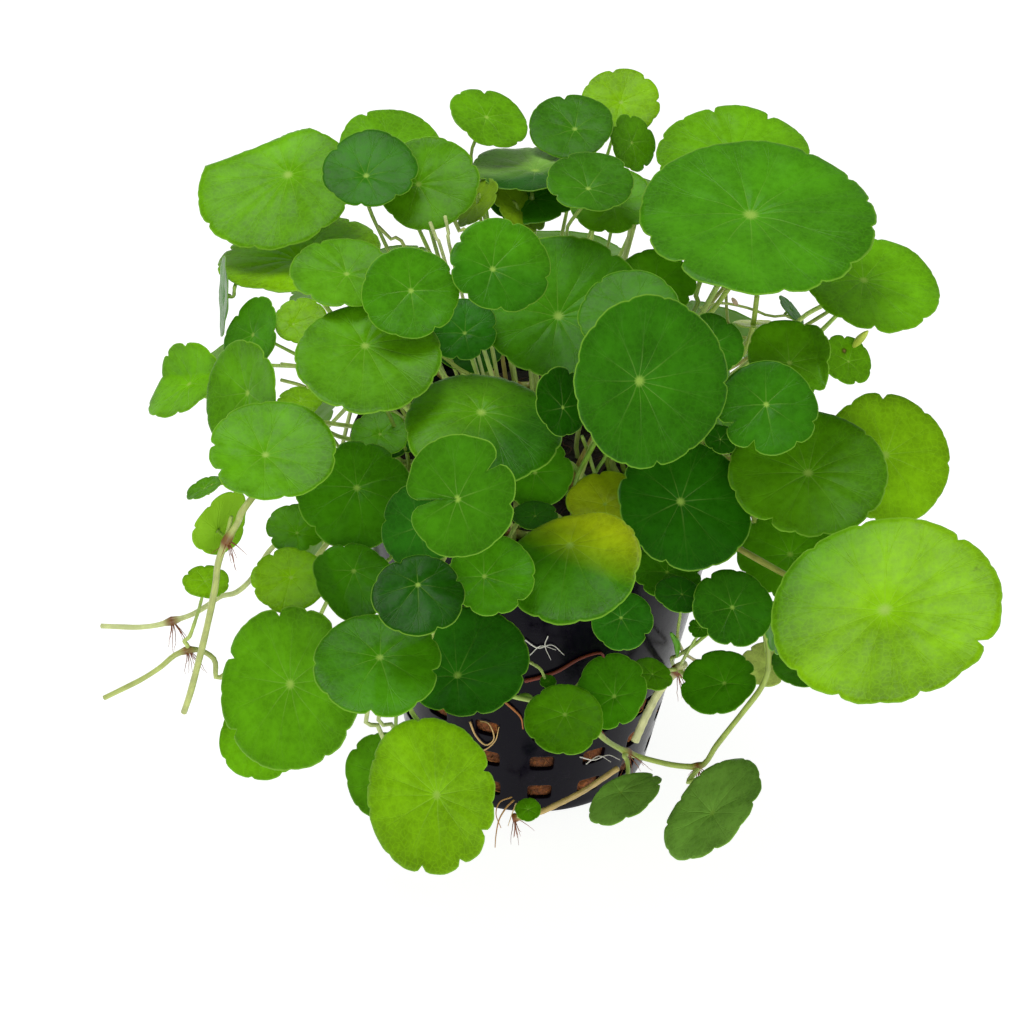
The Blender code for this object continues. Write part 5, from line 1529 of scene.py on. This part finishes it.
def leaf_material():
    """Living leaf: cuticle wax over green tissue, so satin, with pale veins.

    The UV runs with the lobes: its whole part counts them and its fraction goes from notch to notch,
    so the main vein of a lobe is where the fraction is a half. It forks twice on its way to the rim.
    """
    material, tree, shader = new_material("waxy_leaf")
    grid = add_node(tree, "UVMap", {"uv_map": "grid"}).outputs[0]
    split = add_node(tree, "SeparateXYZ", i0=grid)
    lobe, reach = split.outputs[0], split.outputs[1]
    trait = add_node(tree, "Attribute", {"attribute_name": "trait"}).outputs["Vector"]
    traits = add_node(tree, "SeparateXYZ", i0=trait)
    under, lobe_size, off_mark = traits.outputs[0], traits.outputs[1], traits.outputs[2]
    tint = add_node(tree, "Attribute", {"attribute_name": "tint"}).outputs["Color"]
    place = add_node(tree, "TexCoord").outputs["Object"]
    off = math_node(tree, "ABSOLUTE", math_node(tree, "SUBTRACT", math_node(tree, "FRACT", lobe), 0.5))
    wide = math_node(tree, "MULTIPLY", math_node(tree, "MULTIPLY", reach, lobe_size), 6.2832)
    fork = math_node(tree, "MULTIPLY", math_node(tree, "MAXIMUM",
                                                 math_node(tree, "SUBTRACT", reach, 0.45), 0.0), 0.55)
    branch = math_node(tree, "ABSOLUTE", math_node(tree, "SUBTRACT", off, fork))
    twig = math_node(tree, "MULTIPLY", math_node(tree, "MAXIMUM",
                                                 math_node(tree, "SUBTRACT", reach, 0.72), 0.0), 0.5)
    twigs = math_node(tree, "ABSOLUTE", math_node(tree, "SUBTRACT", branch, twig))
    main = ramp(tree, math_node(tree, "MULTIPLY", off, wide), 0.03, 0.17, 1.0, 0.0)
    main = math_node(tree, "MULTIPLY", main, ramp(tree, reach, 0.45, 0.95, 1.0, 0.25))
    second = ramp(tree, math_node(tree, "MULTIPLY", branch, wide), 0.02, 0.13, 0.5, 0.0)
    third = ramp(tree, math_node(tree, "MULTIPLY", twigs, wide), 0.02, 0.12, 0.35, 0.0)
    veins = math_node(tree, "MAXIMUM", main, math_node(tree, "MAXIMUM", second, third))
    net = add_node(tree, "TexVoronoi", {"feature": "DISTANCE_TO_EDGE"}, Vector=place, Scale=900.0)
    mesh_lines = ramp(tree, net.outputs["Distance"], 0.0, 0.12, 1.0, 0.0)
    fine = add_node(tree, "TexNoise", Vector=place, Scale=700.0, Detail=4.0, Roughness=0.6)
    broad = add_node(tree, "TexNoise", Vector=place, Scale=130.0, Detail=3.0, Roughness=0.5)
    cloud = add_node(tree, "TexNoise", Vector=place, Scale=48.0, Detail=2.0, Roughness=0.5)
    light = math_node(tree, "MULTIPLY", ramp(tree, broad.outputs[0], 0.3, 0.7, 0.86, 1.12),
                      ramp(tree, fine.outputs[0], 0.3, 0.7, 0.90, 1.10))
    light = math_node(tree, "MULTIPLY", light, ramp(tree, cloud.outputs[0], 0.35, 0.65, 0.84, 1.16))
    # Painted shade: the blade darkens by up to a sixth towards its rim
    light = math_node(tree, "MULTIPLY", light, ramp(tree, reach, 0.72, 0.97, 1.0, 0.84))
    base = add_node(tree, "VectorMath", {"operation": "SCALE"}, i0=tint, Scale=light).outputs[0]
    lighter = add_node(tree, "VectorMath", {"operation": "SCALE"}, i0=tint, Scale=1.35).outputs[0]
    base = blend_colour(tree, math_node(tree, "MULTIPLY", mesh_lines, 0.3), base, lighter)
    vein_share = math_node(tree, "MULTIPLY", veins, ramp(tree, reach, 0.04, 0.5, 0.42, 0.08))
    pale = blend_colour(tree, 0.5, lighter, colour4("#a9c860"))
    base = blend_colour(tree, vein_share, base, pale)
    base = blend_colour(tree, ramp(tree, reach, 0.0, 0.32, 0.4, 0.0), base, lighter)
    star = ramp(tree, reach, 0.02, 0.09, 0.75, 0.0)
    base = blend_colour(tree, star, base, colour4("#9cc050"))
    rim = ramp(tree, reach, 0.98, 1.0, 0.0, 0.6)
    base = blend_colour(tree, rim, base, colour4("#86b83a"))
    dull = blend_colour(tree, 0.35, lighter, colour4("#86a83c"))
    base = blend_colour(tree, under, base, dull)
    ragged = math_node(tree, "ADD", off_mark, math_node(tree, "MULTIPLY", fine.outputs[0], 0.7))
    base = blend_colour(tree, ramp(tree, ragged, 1.15, 1.55, 0.75, 0.0), base, colour4("#3c2408"))
    base = blend_colour(tree, ramp(tree, ragged, 0.95, 1.2, 1.0, 0.0), base, colour4("#a07c50"))
    tree.links.new(base, shader.inputs["Base Color"])
    wax = ramp(tree, fine.outputs[0], 0.25, 0.75, 0.24, 0.38)
    wax = math_node(tree, "ADD", wax, math_node(tree, "MULTIPLY", under, 0.18))
    tree.links.new(wax, shader.inputs["Roughness"])
    shader.inputs["Specular IOR Level"].default_value = 0.07
    height = math_node(tree, "SUBTRACT", math_node(tree, "MULTIPLY", broad.outputs[0], 0.5),
                       math_node(tree, "MULTIPLY", veins, 0.55))
    height = math_node(tree, "ADD", height, math_node(tree, "MULTIPLY", net.outputs["Distance"], 0.35))
    bump = add_node(tree, "Bump", Strength=0.4, Distance=0.0002, Height=height)
    tree.links.new(bump.outputs[0], shader.inputs["Normal"])
    return material


def stem_material(name, gloss, streaks):
    """Smooth grown stem: thin wax over pale tissue, with fine streaks along its length."""
    material, tree, shader = new_material(name)
    grid = add_node(tree, "UVMap", {"uv_map": "grid"}).outputs[0]
    stretch = add_node(tree, "VectorMath", {"operation": "MULTIPLY"}, i0=grid, i1=(14.0, 0.35, 1.0))
    tint = add_node(tree, "Attribute", {"attribute_name": "tint"}).outputs["Color"]
    place = add_node(tree, "TexCoord").outputs["Object"]
    lines = add_node(tree, "TexNoise", Vector=stretch.outputs[0], Scale=1.0, Detail=3.0)
    spots = add_node(tree, "TexNoise", Vector=place, Scale=420.0, Detail=3.0)
    light = math_node(tree, "MULTIPLY", ramp(tree, lines.outputs[0], 0.3, 0.7, 1 - streaks, 1 + streaks),
                      ramp(tree, spots.outputs[0], 0.3, 0.7, 0.85, 1.12))
    base = add_node(tree, "VectorMath", {"operation": "SCALE"}, i0=tint, Scale=light)
    tree.links.new(base.outputs[0], shader.inputs["Base Color"])
    tree.links.new(ramp(tree, spots.outputs[0], 0.2, 0.8, gloss - 0.08, gloss + 0.12),
                   shader.inputs["Roughness"])
    bump = add_node(tree, "Bump", Strength=0.4, Distance=0.00012, Height=lines.outputs[0])
    tree.links.new(bump.outputs[0], shader.inputs["Normal"])
    return material


def fibre_material():
    """Coconut fibre: dry, matt, red-brown strands over darker dust, 0.2 mm a strand."""
    material, tree, shader = new_material("coconut_fibre")
    tint = add_node(tree, "Attribute", {"attribute_name": "tint"}).outputs["Color"]
    place = add_node(tree, "TexCoord").outputs["Object"]
    warp = add_node(tree, "TexNoise", Vector=place, Scale=160.0, Detail=4.0, Roughness=0.7)
    strands = add_node(tree, "TexNoise", Vector=place, Scale=1500.0, Detail=5.0, Roughness=0.75)
    cells = add_node(tree, "TexVoronoi", {"feature": "F1"}, Vector=place, Scale=1100.0)
    light = math_node(tree, "MULTIPLY", ramp(tree, warp.outputs[0], 0.3, 0.7, 0.45, 1.5),
                      ramp(tree, strands.outputs[0], 0.3, 0.7, 0.5, 1.5))
    base = add_node(tree, "VectorMath", {"operation": "SCALE"}, i0=tint, Scale=light)
    tree.links.new(base.outputs[0], shader.inputs["Base Color"])
    shader.inputs["Roughness"].default_value = 0.92
    height = math_node(tree, "ADD", strands.outputs[0], cells.outputs["Distance"])
    bump = add_node(tree, "Bump", Strength=1.0, Distance=0.0007, Height=height)
    tree.links.new(bump.outputs[0], shader.inputs["Normal"])
    return material


def pot_material():
    """Moulded polypropylene, near black: soft gloss, faint flow marks, fine scuffs and some dust."""
    material, tree, shader = new_material("moulded_black_plastic")
    place = add_node(tree, "TexCoord").outputs["Object"]
    cloud = add_node(tree, "TexNoise", Vector=place, Scale=90.0, Detail=4.0, Roughness=0.6)
    grit = add_node(tree, "TexNoise", Vector=place, Scale=900.0, Detail=5.0, Roughness=0.7)
    dust = math_node(tree, "MULTIPLY", ramp(tree, cloud.outputs[0], 0.45, 0.75),
                     ramp(tree, grit.outputs[0], 0.45, 0.7))
    base = blend_colour(tree, math_node(tree, "MULTIPLY", dust, 0.25), colour4("#080510"),
                        colour4("#2a2433"))
    tree.links.new(base, shader.inputs["Base Color"])
    tree.links.new(ramp(tree, grit.outputs[0], 0.3, 0.7, 0.14, 0.28), shader.inputs["Roughness"])
    shader.inputs["Specular IOR Level"].default_value = 0.08
    bump = add_node(tree, "Bump", Strength=0.25, Distance=0.0002, Height=cloud.outputs[0])
    tree.links.new(bump.outputs[0], shader.inputs["Normal"])
    return material


# Stage

def make_stage():
    """Plain pale floor, soft light and the camera of the photograph."""
    scene = bpy.context.scene
    scene.view_settings.view_transform = "Standard"
    mesh = bpy.data.meshes.new("floor")
    half = 3.0
    mesh.from_pydata([(-half, -half, 0), (half, -half, 0), (half, half, 0), (-half, half, 0)], [],
                     [(0, 1, 2, 3)])
    material, tree, shader = new_material("pale_floor")
    shader.inputs["Base Color"].default_value = (0.32, 0.32, 0.32, 1)
    shader.inputs["Roughness"].default_value = 0.9
    shader.inputs["Emission Color"].default_value = (1, 1, 1, 1)
    shader.inputs["Emission Strength"].default_value = 0.88
    mesh.materials.append(material)
    floor = bpy.data.objects.new("floor", mesh)
    scene.collection.objects.link(floor)
    world = bpy.data.worlds.new("studio")
    world.use_nodes = True
    world.node_tree.nodes["Background"].inputs["Color"].default_value = (1, 1, 1, 1)
    world.node_tree.nodes["Background"].inputs["Strength"].default_value = 0.42
    scene.world = world
    add_light("key", (-160, 60, 720), 330, 2.5)
    add_light("fill", (90, -640, 170), 480, 1.9)
    lens = bpy.data.cameras.new("camera")
    lens.lens = 36.0 * FOCAL_PIXELS / 1024
    lens.sensor_width = 36.0
    lens.clip_start = 0.01
    camera = bpy.data.objects.new("camera", lens)
    scene.collection.objects.link(camera)
    turn = np.eye(4)
    turn[:3, 0], turn[:3, 1], turn[:3, 2], turn[:3, 3] = RIGHT, UP, -FORWARD, EYE * MM
    camera.matrix_world = Matrix(turn.tolist())
    scene.camera = camera


def add_light(name, place, size, power):
    """A square soft light that faces the middle of the plant."""
    lamp = bpy.data.lights.new(name, "AREA")
    lamp.shape = "SQUARE"
    lamp.size = size * MM
    lamp.energy = power
    light = bpy.data.objects.new(name, lamp)
    bpy.context.scene.collection.objects.link(light)
    back = unit(np.array(place, float) - MOUND_MIDDLE)
    side = unit(np.cross([0, 0, 1.0], back))
    turn = np.eye(4)
    turn[:3, 0], turn[:3, 1], turn[:3, 2] = side, np.cross(back, side), back
    turn[:3, 3] = np.array(place) * MM
    light.matrix_world = Matrix(turn.tolist())


def main():
    """Make the materials, the pot, the filling and the plant, and set the stage."""
    rng = np.random.default_rng(RANDOM_SEED)
    finishes = {
        "leaf": leaf_material(),
        "stalk": stem_material("leaf_stalk", 0.42, 0.12),
        "runner": stem_material("runner_stem", 0.40, 0.08),
        "root": stem_material("fine_root", 0.6, 0.2),
        "fibre": fibre_material(),
        "pot": pot_material(),
    }
    make_pot(finishes)
    make_filling(finishes, rng)
    make_plant(finishes, rng)
    make_small_leaves(finishes, rng)
    make_wall_roots(finishes, rng)
    make_stage()


main()
